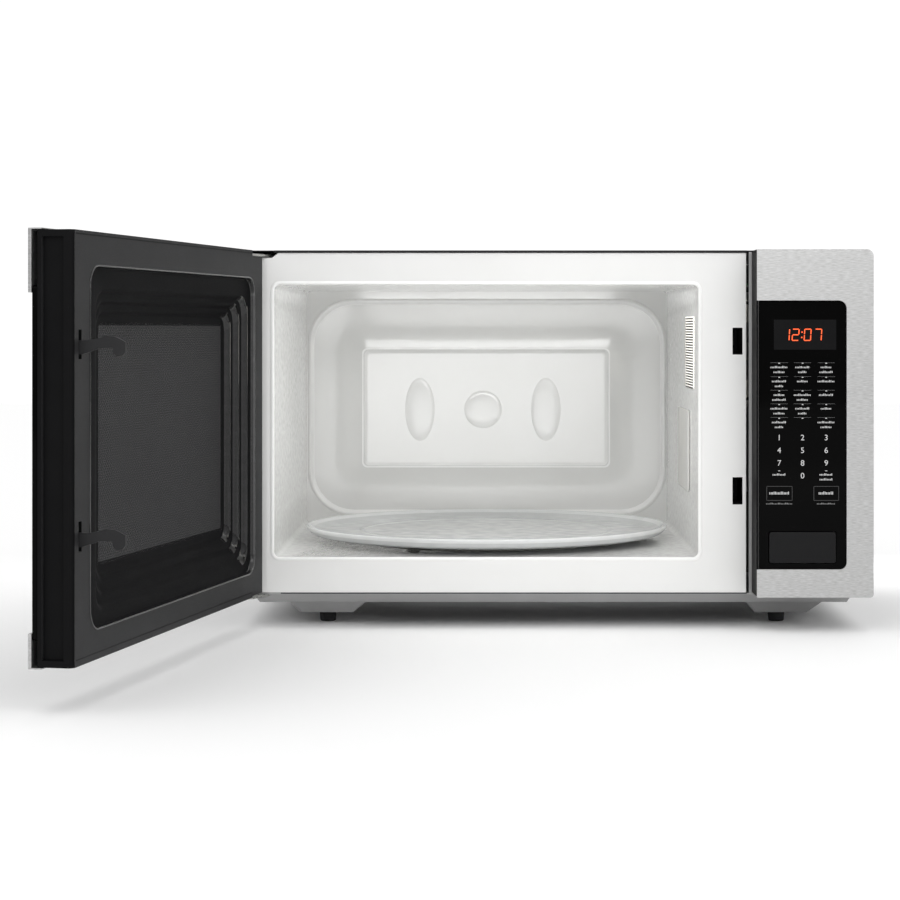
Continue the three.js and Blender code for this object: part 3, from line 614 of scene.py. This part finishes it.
def rear_wall():
    """The cavity's back: a sheet pressed with an arch, a sunk middle panel and shallow ovals, the
    raised and sunk parts painted brighter than the flat sheet as painted light.
    """
    bm = bmesh.new()
    sheet = (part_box("cavity_shell")[1].y - FACE) / MM + 0.3
    x0, x1, z0, z1, radius = CAVITY_MOUTH
    outside = (x0 - 5, x1 + 5, z0 - 5, z1 + 5, radius)
    arch = (33.5, 400.5, 71.5, 292.0, 44)
    inner = (37.5, 396.5, 75.5, 288.0, 41)
    sheet_loops = [rectangle_loop(outside, sheet, cabinet_point),
                   rectangle_loop(outside, sheet - 0.6, cabinet_point)]
    for share, rise in ((-0.6, 0.6), (-0.3, 2.2), (0.0, 2.8), (0.3, 2.5), (0.7, 0.9), (1.0, 0.6)):
        outline = between(arch, inner, share)
        sheet_loops.append(rectangle_loop(outline, sheet - rise, cabinet_point))
    panel = (89, 342.6, 121.2, 241.2, 5)
    floor = (93, 338.6, 125.2, 237.2, 4)
    for share, rise in ((-0.5, 0.6), (-0.15, 0.9), (0.1, 0.4)):
        outline = between(panel, floor, share)
        sheet_loops.append(rectangle_loop(outline, sheet - rise, cabinet_point))
    loft(bm, sheet_loops)
    first = len(bm.faces)
    sunk = [rectangle_loop(between(panel, floor, share), sheet + drop, cabinet_point)
            for share, drop in ((0.1, -0.4), (0.6, 1.6), (0.85, 2.0), (1.0, PANEL_DROP))]
    loft(bm, sunk, cap_last=True)
    ovals = ((147, 15.5, 33), (278, 15.5, 33), (212.7, 19.7, 19.7))
    for centre, half_width, half_height in ovals:
        pad_oval(bm, centre, 179.5, half_width, half_height, sheet + PANEL_DROP)
    # The sunk panel and the ovals take the brighter enamel: painted light.
    bm.faces.ensure_lookup_table()
    for face in list(bm.faces)[first:]:
        face.material_index = 1
    bmesh.ops.recalc_face_normals(bm, faces=bm.faces)
    # Faces raised more than 0.65 mm from the sheet, the arch's ridge, take the brighter enamel
    # too: a painted highlight; the flat sheet keeps the darker enamel: painted shade.
    for face in bm.faces:
        depth = (face.calc_center_median().y - FACE) / MM
        if depth < sheet - 0.65:
            face.material_index = 1
    piece = finish("cavity_rear_pressing", bm, [ENAMEL_PAINTED_SHADE, ENAMEL_PAINTED_LIGHT], smooth_degrees=40)
    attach(piece, "cabinet")
    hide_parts("cavity_rear_wall")


def pad_oval(bm, cx, cz, half_width, half_height, y):
    """A shallow raised oval with rolled edges."""
    loops = []
    crown = ((1.0, -0.1), (0.97, 0.3), (0.9, 0.75), (0.76, 1.1), (0.5, 1.25), (0.2, 1.3))
    for scale, lift in crown:
        loop = []
        for step in range(OVAL_STEPS):
            angle = 2 * math.pi * step / OVAL_STEPS
            loop.append(cabinet_point(cx + half_width * scale * math.cos(angle), y - lift,
                                      cz + half_height * scale * math.sin(angle)))
        loops.append(loop)
    loft(bm, loops, cap_last=True)


def lamp_grille():
    """Fine punched holes in the cavity's right wall, lit from behind."""
    wall_x = CAVITY_MOUTH[1]
    y0, y1, z0, z1 = 43, 127, 209, 274
    bm = bmesh.new()
    glow = bmesh.new()
    add_box(glow, (wall_x - 0.12, y0, z0), (wall_x - 0.02, y1, z1))
    diffuser = finish("lamp_diffuser", glow, [LAMP])
    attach(diffuser, "cabinet")
    columns, rows = 13, 27
    bmesh.ops.create_grid(bm, x_segments=columns, y_segments=rows, size=0.5)
    for vert in bm.verts:
        vert.co = cabinet_point(wall_x - 0.3, y0 + (vert.co.x + 0.5) * (y1 - y0),
                                z0 + (vert.co.y + 0.5) * (z1 - z0))
    made = bmesh.ops.inset_individual(bm, faces=bm.faces, thickness=0.62 * MM)
    rims = set(made["faces"])
    bmesh.ops.delete(bm, geom=[face for face in bm.faces if face not in rims], context="FACES")
    bmesh.ops.recalc_face_normals(bm, faces=bm.faces)
    if bm.faces[:][0].normal.x > 0:
        bmesh.ops.reverse_faces(bm, faces=bm.faces)
    piece = finish("lamp_grille", bm, [ENAMEL], smooth_degrees=30)
    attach(piece, "cabinet")


def opening_lip():
    """The rolled edge around the cavity's mouth."""
    x0, x1, z0, z1, radius = CAVITY_MOUTH
    outer = (x0 - 3, x1 + 3, z0 - 3, z1 + 3, radius + 3)
    bm = bmesh.new()
    rolled = ((0.0, 0.02), (0.25, -0.45), (0.6, -0.6), (0.9, -0.3), (1.05, 0.4), (1.08, 3.0))
    loft(bm, [rectangle_loop(between(outer, CAVITY_MOUTH, share), depth, cabinet_point)
              for share, depth in rolled])
    bmesh.ops.recalc_face_normals(bm, faces=bm.faces)
    # The lip takes the brighter enamel: a painted highlight along the rolled edge.
    piece = finish("opening_lip", bm, [ENAMEL_PAINTED_LIGHT], smooth_degrees=60)
    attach(piece, "cabinet")


# ---------------------------------------------------------------- turntable

AXIS = 0.0001  # as near the middle as a turned profile may start
TRAY_LUGS = 3  # the feet under the tray's middle that the drive coupler turns


def glass_tray():
    """The turntable plate: a pressed profile turned about its middle, with a polished rim painted
    whiter than the body as a painted highlight.
    """
    low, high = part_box("glass_turntable")
    centre = (low + high) / 2
    radius = (high.x - low.x) / 2
    rim = high.z
    underside = low.z + 6.7 * MM
    well = underside + 4 * MM
    ridge = underside + 4.5 * MM
    profile = eased([
        (AXIS, underside), (radius * 0.915, underside), (radius * 0.968, underside + 2.4 * MM),
        (radius - 0.9 * MM, rim - 3.4 * MM), (radius, rim - 1.3 * MM), (radius - 1.1 * MM, rim),
        (radius - 4.2 * MM, rim - 0.2 * MM), (radius * 0.958, rim - 2.8 * MM),
        (radius * 0.9, well), (radius * 0.7, well),
        (radius * 0.695, ridge), (radius * 0.68, ridge),
        (radius * 0.675, well), (AXIS, well)], 1.8 * MM)
    bm = bmesh.new()
    verts = [bm.verts.new((centre.x + x, centre.y, z)) for x, z in profile]
    edges = [bm.edges.new(pair) for pair in zip(verts, verts[1:])]
    bmesh.ops.spin(bm, geom=verts + edges, cent=(centre.x, centre.y, 0), axis=(0, 0, 1),
                   angle=2 * math.pi, steps=96, use_merge=True)
    bmesh.ops.remove_doubles(bm, verts=bm.verts, dist=0.15 * MM)
    for index in range(TRAY_LUGS):
        angle = math.radians(360 / TRAY_LUGS * index)
        lug = bmesh.ops.create_cube(bm, size=1)["verts"]
        bmesh.ops.scale(bm, vec=(6 * MM, 8 * MM, 7 * MM), verts=lug)
        bmesh.ops.translate(bm, vec=(22 * MM, 0, low.z + 3.5 * MM), verts=lug)
        bmesh.ops.rotate(bm, verts=lug, cent=(0, 0, 0), matrix=Matrix.Rotation(angle, 3, "Z"))
        bmesh.ops.translate(bm, vec=(centre.x, centre.y, 0), verts=lug)
    bmesh.ops.recalc_face_normals(bm, faces=bm.faces)
    # Faces on the rim's top take the whiter rim glass: a painted highlight.
    for face in bm.faces:
        middle = face.calc_center_median()
        away = (middle - Vector((centre.x, centre.y, middle.z))).length
        if away > radius * 0.955 and middle.z > rim - 4.0 * MM:
            face.material_index = 1
    piece = finish("glass_tray", bm, [TRAY_GLASS, RIM_GLASS_PAINTED_HIGHLIGHT], smooth_degrees=50)
    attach(piece, "glass_turntable")
    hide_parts("glass_turntable")


def make_turntable():
    glass_tray()
    refined("roller_ring", "roller_ring", WHITE_NYLON, 0.6, 2)
    for index in range(3):
        node = f"roller_{index + 1}"
        refined(node, node, WHITE_NYLON, 0.7, 3)
    refined("drive_coupler", "drive_coupler", WHITE_NYLON, 0.8)


# ---------------------------------------------------------------- control panel

def make_panel():
    refined("panel_fascia", "cabinet", STEEL, 0.5, 3)
    refined("panel_housing", "cabinet", BLACK_ABS, 0.5)
    refined("control_glass", "cabinet", BLACK_GLASS, 0.4)
    refined("display_module", "cabinet", BLACK_ABS, 0.4)
    refined("release_button", "release_button", BUTTON_ABS, 1.2, 4)


def text_mesh(bm, text, x, z, size, y):
    """A line of generic characters centred on x and z, facing forward."""
    curve = bpy.data.curves.new("digits", "FONT")
    curve.body = text
    curve.size = size * MM
    curve.align_x = "CENTER"
    curve.align_y = "CENTER"
    holder = bpy.data.objects.new("digits", curve)
    bpy.context.scene.collection.objects.link(holder)
    bpy.context.view_layer.update()
    mesh = bpy.data.meshes.new_from_object(holder)
    upright = Matrix.Rotation(math.pi / 2, 4, "X")
    mesh.transform(Matrix.Translation(cabinet_point(x, y, z)) @ upright)
    bm.from_mesh(mesh)
    bpy.data.objects.remove(holder)
    bpy.data.curves.remove(curve)
    bpy.data.meshes.remove(mesh)


def flat_bar(bm, x0, x1, z0, z1, y):
    """A thin printed rectangle facing forward."""
    add_box(bm, (x0, y, z0), (x1, y + 0.03, z1))


def frame_bar(bm, x0, x1, z0, z1, y):
    """A thin printed outline facing forward."""
    line = 0.4
    flat_bar(bm, x0, x1, z0, z0 + line, y)
    flat_bar(bm, x0, x1, z1 - line, z1, y)
    flat_bar(bm, x0, x0 + line, z0, z1, y)
    flat_bar(bm, x1 - line, x1, z0, z1, y)


LEGEND_LINE = 4.2  # from one line of a legend to the next
DIGIT_PITCH, DIGIT_SIZE = 11.0, 6.9  # the number keys' rows and the height of their print


def printed_legends():
    """Generic key legends: level bars for words, digits for the number keys."""
    front = (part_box("control_glass")[0].y - FACE) / MM - 0.06
    columns = (470.6, 490.8, 511.3)
    bm = bmesh.new()
    rows = ((229.6, (2, 2, 2)), (217.4, (2, 1, 1)), (205.6, (2, 2, 1)), (193.8, (2, 2, 1)),
            (181.9, (2, 0, 2)))
    widths = (15.0, 12.5, 9.5)
    for row_index, (z, lines) in enumerate(rows):
        for column_index, (x, count) in enumerate(zip(columns, lines)):
            for line in range(count):
                width = widths[(row_index + column_index + line) % 3] * (0.8 if line else 1)
                word_bars(bm, x, z - line * LEGEND_LINE, width, front)
        for x in columns:
            flat_bar(bm, x - 0.7, x + 0.7, z + 3.3, z + 4.0, front)
    for row_index, digits in enumerate(("123", "456", "789", " 0 ")):
        for x, digit in zip(columns, digits):
            if digit != " ":
                text_mesh(bm, digit, x, 168.6 - row_index * DIGIT_PITCH, DIGIT_SIZE, front)
    for x, count in ((columns[0], 1), (columns[2], 2)):
        for line in range(count):
            word_bars(bm, x, 136.6 - line * LEGEND_LINE, 11.5, front)
        flat_bar(bm, x - 0.9, x + 0.9, 139.8, 140.3, front)
    word_bars(bm, 470.8, 120.5, 17.5, front, height=1.9)
    word_bars(bm, 511.3, 120.5, 13.0, front, height=1.9)
    piece = finish("panel_legends", bm, [INK])
    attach(piece, "cabinet")
    faint = bmesh.new()
    for x, width in ((470.8, 23), (511.3, 16)):
        word_bars(faint, x, 111.4, width, front, height=0.7)
    for x in columns:
        flat_bar(faint, x - 7.5, x + 7.5, 233.6, 233.72, front)
        for z in (221.6, 209.8, 198.0, 186.2):
            flat_bar(faint, x - 7.5, x + 7.5, z, z + 0.12, front)
    boxes = bmesh.new()
    frame_bar(boxes, 459.6, 482.0, 114.2, 126.8, front)
    frame_bar(boxes, 500.4, 522.3, 114.2, 126.8, front)
    frames = finish("panel_key_frames", boxes, [DIM_INK])
    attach(frames, "cabinet")
    lines = finish("panel_lines", faint, [FAINT_INK])
    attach(lines, "cabinet")


def word_bars(bm, x, z, width, y, height=1.25):
    """One word as a row of short strokes with uneven heights."""
    strokes = max(4, round(width / 1.25))
    pitch = width / strokes
    for index in range(strokes):
        start = x - width / 2 + index * pitch
        rise = (0.55, 0.0, 0.0, 0.5, 0.0)[(index * 3 + round(x)) % 5]
        flat_bar(bm, start, start + pitch * 0.55, z - height / 2, z + height / 2 + rise, y)


def display_window():
    """The smoked window in front of the clock."""
    front = (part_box("control_glass")[0].y - FACE) / MM - 0.03
    bm = bmesh.new()
    add_box(bm, (466, front, 245), (520, front + 0.02, 271))
    piece = finish("display_window", bm, [BLACK_ABS])
    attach(piece, "cabinet")


LATCH_SLOTS = ((240.4, 264), (108.5, 132.4))  # low and high z of the two slots in the front plate


def panel_trims():
    """Dark strips down the panel's side, painted shade as dark strips in the gap beside the panel
    and in the plate's lower gap, the latch slots' sleeves, the cover's hem.
    """
    bm = bmesh.new()
    # Dark strips down the panel's side and along its front edge.
    add_box(bm, (450.45, -33.2, 31.8), (450.85, -0.5, 331.4))
    add_box(bm, (450.45, -34.1, 54.9), (452.3, -33.1, 287.6))
    # A dark strip in the gap between plate and panel: painted shade.
    add_box(bm, (446.5, -0.9, 31.8), (447.3, -0.2, 331.0))
    side = finish("panel_side_dark_strips", bm, [BLACK_ABS])
    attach(side, "cabinet")
    pocket = bmesh.new()
    for z0, z1 in LATCH_SLOTS:
        add_box(pocket, (432.0, 1.2, z0 - 1.6), (432.9, 27, z1 + 1.6))
        add_box(pocket, (443.0, 1.2, z0 - 1.6), (443.9, 27, z1 + 1.6))
        add_box(pocket, (432.0, 1.2, z1 + 0.8), (443.9, 27, z1 + 1.6))
        add_box(pocket, (432.0, 1.2, z0 - 1.6), (443.9, 27, z0 - 0.8))
    sleeves = finish("latch_slot_sleeves", pocket, [CHARCOAL_ABS])
    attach(sleeves, "cabinet")
    # A dark strip under the plate's bottom edge: painted shadow in the gap above the base pan.
    shadow_gap = bmesh.new()
    add_box(shadow_gap, (36, 0.3, 30.0), (446, 1.0, 30.9))
    gap = finish("plate_lower_gap_painted_shadow", shadow_gap, [BLACK_ABS])
    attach(gap, "cabinet")
    hem = bmesh.new()
    add_box(hem, (30, -1.1, 329.8), (446.5, 0.1, 332.1))
    edge = finish("cover_front_hem", hem, [POWDER], smooth_degrees=35)
    add_bevel(edge, 0.5, 3)
    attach(edge, "cabinet")


# The lit bars of each digit, lettered clockwise from the top, with g across the middle.
SEGMENTS = {"0": "abcdef", "1": "bc", "2": "abged", "7": "abc"}


def lit_clock():
    """Four seven-segment digits and a colon, leaning slightly."""
    front = (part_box("control_glass")[0].y - FACE) / MM - 0.08
    bm = bmesh.new()
    tall, wide, line, lean = 10.6, 6.4, 0.85, 0.06
    middle_z = 257.9

    def bar(x0, z0, x1, z1):
        made = add_box(bm, (x0, front, z0), (x1, front + 0.03, z1))
        for vert in made:
            vert.co.x += (vert.co.z / MM - middle_z) * lean * MM

    for digit, x in zip("1207", (473.4, 481.6, 492.0, 501.2)):
        low, high = middle_z - tall / 2, middle_z + tall / 2
        places = {
            "a": (x + 0.7, high - line, x + wide - 0.7, high),
            "b": (x + wide - line, middle_z + 0.45, x + wide, high - 0.6),
            "c": (x + wide - line, low + 0.6, x + wide, middle_z - 0.45),
            "d": (x + 0.7, low, x + wide - 0.7, low + line),
            "e": (x, low + 0.6, x + line, middle_z - 0.45),
            "f": (x, middle_z + 0.45, x + line, high - 0.6),
            "g": (x + 0.7, middle_z - line / 2, x + wide - 0.7, middle_z + line / 2),
        }
        for segment in SEGMENTS[digit]:
            bar(*places[segment])
    for offset in (-2.3, 2.3):
        bar(489.7, middle_z + offset - 0.55, 490.8, middle_z + offset + 0.55)
    piece = finish("clock_digits", bm, [DIGITS])
    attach(piece, "cabinet")


# ---------------------------------------------------------------- door

# Outlines of the door's recess on the closed door: x0, x1, z0, z1 and corner radius.
RIM = (30, 418, 53, 307, 16)
SHELF_EDGE = (38, 395, 62.5, 291, 15)
SCREEN_EDGE = (62, 354, 91, 268.5, 11)
LINER_STEPS = 3
SHELF_DEPTH, STEP_DROP = -5.6, 5.1


def door_liner():
    """The pressed recess of the door's inner face: rolled rim, flat shelf and three steps."""
    bm = bmesh.new()
    rolled = plate_loops(RIM, [
        (-0.9, -1.75), (-0.8, -1.2), (-0.3, -0.85), (0.3, -0.95), (0.7, -1.5),
        (0.8, -3.6), (1.1, -4.5), (1.7, -5.0)], on_door)
    loft(bm, rolled + [rectangle_loop(between(RIM, SHELF_EDGE, 0.22), -5.05, on_door)])
    loft(bm, [rectangle_loop(between(RIM, SHELF_EDGE, share), depth, on_door)
              for share, depth in ((0.22, -5.05), (0.9, SHELF_DEPTH))])
    steps = [rectangle_loop(between(RIM, SHELF_EDGE, 0.9), SHELF_DEPTH, on_door)]
    ridge = ((0.0, 0.12), (0.16, 0.3), (0.3, 0.62), (0.42, 0.88), (0.6, 1.0), (0.85, 0.98))
    for index in range(LINER_STEPS):
        for share, fall in ridge:
            outline = between(SHELF_EDGE, SCREEN_EDGE, (index + share) / LINER_STEPS)
            depth = SHELF_DEPTH - (index + fall) * STEP_DROP
            steps.append(rectangle_loop(outline, depth, on_door))
    steps.append(rectangle_loop(SCREEN_EDGE, -21.0, on_door))
    steps.append(rectangle_loop(SCREEN_EDGE, -21.5, on_door))
    loft(bm, steps)
    bmesh.ops.remove_doubles(bm, verts=bm.verts, dist=SAME_PLACE)
    bmesh.ops.recalc_face_normals(bm, faces=bm.faces)
    away = DOOR_TURN.to_3x3() @ Vector((1, 0, 0))
    if sum(face.normal.dot(INWARD) * face.calc_area() for face in bm.faces) < 0:
        bmesh.ops.reverse_faces(bm, faces=bm.faces)
    shut = DOOR_TURN.inverted()
    for face in bm.faces:
        place = (shut @ face.calc_center_median() - cabinet_point(0, 0, 0)) / MM
        by_hinge = place.x < SCREEN_EDGE[0] + 14 and abs(place.z - 180) > 60
        if face.normal.dot(INWARD) > 0.9 or (face.normal.dot(away) < 0.25 and not by_hinge):
            face.material_index = 1
        if place.y > -1.3:
            face.material_index = 2
    piece = finish("door_recess_pressing", bm, [LINER, SHELF, RIM_BLACK], smooth_degrees=50)
    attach(piece, "door")
    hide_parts("door_recess_liner")


def door_screen():
    """The punched field of the door's screen, its plain border and the film over it."""
    refined("door_screen", "door", SHELF, 0.2)
    for name, (x0, x1, z0, z1), front, material in (
            ("screen_border", (60, 357, 89, 271), -21.15, SHELF),
            ("screen_field", (64.5, 351, 94, 265.5), -21.05, SCREEN)):
        bm = bmesh.new()
        add_box(bm, (x0, -21.5, z0), (x1, front, z1), on_door)
        piece = finish(name, bm, [material])
        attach(piece, "door")
    film = bmesh.new()
    add_box(film, (63, -20.95, 92), (353, -20.75, 267.5), on_door)
    cover = finish("window_film", film, [FILM])
    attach(cover, "door")
    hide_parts("door_window_film")


def door_seams():
    """The joint lines between the door's inner panel and its frame."""
    bm = bmesh.new()
    add_box(bm, (38, -2.0, 327.6), (444, -1.42, 328.6), on_door)
    add_box(bm, (38, -2.0, 36.2), (444, -1.42, 37.0), on_door)
    add_box(bm, (446.6, -2.0, 34), (447.6, -1.42, 328), on_door)
    piece = finish("door_panel_seams", bm, [BLACK_ABS])
    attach(piece, "door")


def make_door():
    # The frame's faces that look inward are painted lighter charcoal than the rest of the black
    # part: painted light on the side that faces the light.
    refined("door_frame", "door", BLACK_ABS, 0.6, 3, facing=(INWARD, CHARCOAL_ABS))
    refined("door_facia", "door", STEEL_DOOR, 0.4, 3)
    refined("door_glass", "door", BLACK_GLASS, 0.4)
    refined("latch_hooks", "latch_hooks", CHARCOAL_ABS, 0.5, 3)
    door_liner()
    door_screen()
    door_seams()


def screw(bm, place, outward):
    """A pan-head screw with a cross recess, seated at a place and facing outward."""
    turn = Vector(outward).to_track_quat("Z", "Y").to_matrix().to_4x4()
    seat = Matrix.Translation(place) @ turn
    bmesh.ops.create_cone(bm, cap_ends=True, segments=28, radius1=3.6 * MM, radius2=2.7 * MM,
                          depth=1.6 * MM, matrix=seat @ Matrix.Translation((0, 0, 0.7 * MM)))
    long, short, deep = 3.2 * MM, 0.7 * MM, 0.12 * MM
    top = Matrix.Translation((0, 0, 1.5 * MM))
    for width, height in ((long, short), (short, long)):
        bar = bmesh.ops.create_cube(bm, size=1, matrix=seat @ top)["verts"]
        middle = seat @ top @ Vector()
        for vert in bar:
            local = turn.inverted().to_3x3() @ (vert.co - middle)
            local = Vector((local.x * width, local.y * height, local.z * deep))
            vert.co = middle + turn.to_3x3() @ local
            for face in vert.link_faces:
                face.material_index = 1


def make_screws():
    """Screws that hold the cover and the back panel."""
    rear = (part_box("back_panel")[1].y - FACE) / MM
    width = (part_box("outer_cover")[1].x - LEFT) / MM
    bm = bmesh.new()
    for x, z in ((14, 318), (538, 318), (14, 180), (538, 180), (276, 322), (14, 44), (538, 44),
                 (170, 322)):
        screw(bm, cabinet_point(x, rear, z), (0, 1, 0))
    for x, outward in ((0, (-1, 0, 0)), (width, (1, 0, 0))):
        for y, z in ((372, 60), (372, 300)):
            screw(bm, cabinet_point(x, y, z), outward)
    piece = finish("cover_screws", bm, [ZINC, BLACK_ABS], smooth_degrees=30)
    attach(piece, "cabinet")


def rating_plate():
    """A blank rating plate on the back, with a printed border and plain data rows."""
    rear = (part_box("back_panel")[1].y - FACE) / MM
    label = bmesh.new()
    add_box(label, (330, rear, 60), (430, rear + 0.15, 120))
    plate = finish("rating_plate", label, [ZINC])
    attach(plate, "cabinet")
    rows = bmesh.new()
    sheet, ink = rear + 0.15, rear + 0.19
    for index in range(7):
        low, end = 66 + index * 7, (424, 407)[index % 2]
        add_box(rows, (336, sheet, low), (end, ink, low + 1.6))
    border = (((332, 62), (428, 62.6)), ((332, 117.4), (428, 118)),
              ((332, 62), (332.6, 118)), ((427.4, 62), (428, 118)))
    for low, high in border:
        add_box(rows, (low[0], sheet, low[1]), (high[0], ink, high[1]))
    printed = finish("rating_plate_print", rows, [BLACK_ABS])
    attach(printed, "cabinet")


def make_inner_parts():
    """Everything behind the covers, and the latch spring on a mesh of its own; the real spring
    squeezes as the hooks lift, which is not drawn here.
    """
    inner = {
        "control_board": CIRCUIT, "filter_board": CIRCUIT, "lever_pin": ZINC,
        "latch_bracket": BLACK_ABS, "waveguide": GALVANISED, "waveguide_cover": MICA,
        "magnetron": GALVANISED, "power_transformer": IRON,
        "hv_capacitor": GALVANISED, "hv_diode": BLACK_ABS, "fan_shroud": WHITE_NYLON,
        "fan_motor": GALVANISED, "lamp_holder": WHITE_NYLON, "lamp_bulb": LAMP,
        "thermal_cutout": BLACK_ABS, "turntable_motor": GALVANISED, "door_switch_upper": BLACK_ABS,
        "door_switch_lower": BLACK_ABS, "door_switch_monitor": BLACK_ABS,
    }
    for node, material in inner.items():
        refined(node, "cabinet", material, 0.3)
    refined("fan_blade", "fan_blade", WHITE_NYLON, 0.3)
    refined("release_lever", "release_lever", WHITE_NYLON, 0.4)
    for name in ("upper", "lower", "monitor"):
        refined(f"switch_plunger_{name}", f"switch_plunger_{name}", BLACK_ABS, 0.4)
    spring = refined("latch_spring", "door", ZINC, 0.1)
    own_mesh(spring)


make_cabinet()
rear_wall()
lamp_grille()
opening_lip()
make_turntable()
make_panel()
display_window()
panel_trims()
printed_legends()
lit_clock()
make_door()
make_inner_parts()
make_screws()
rating_plate()
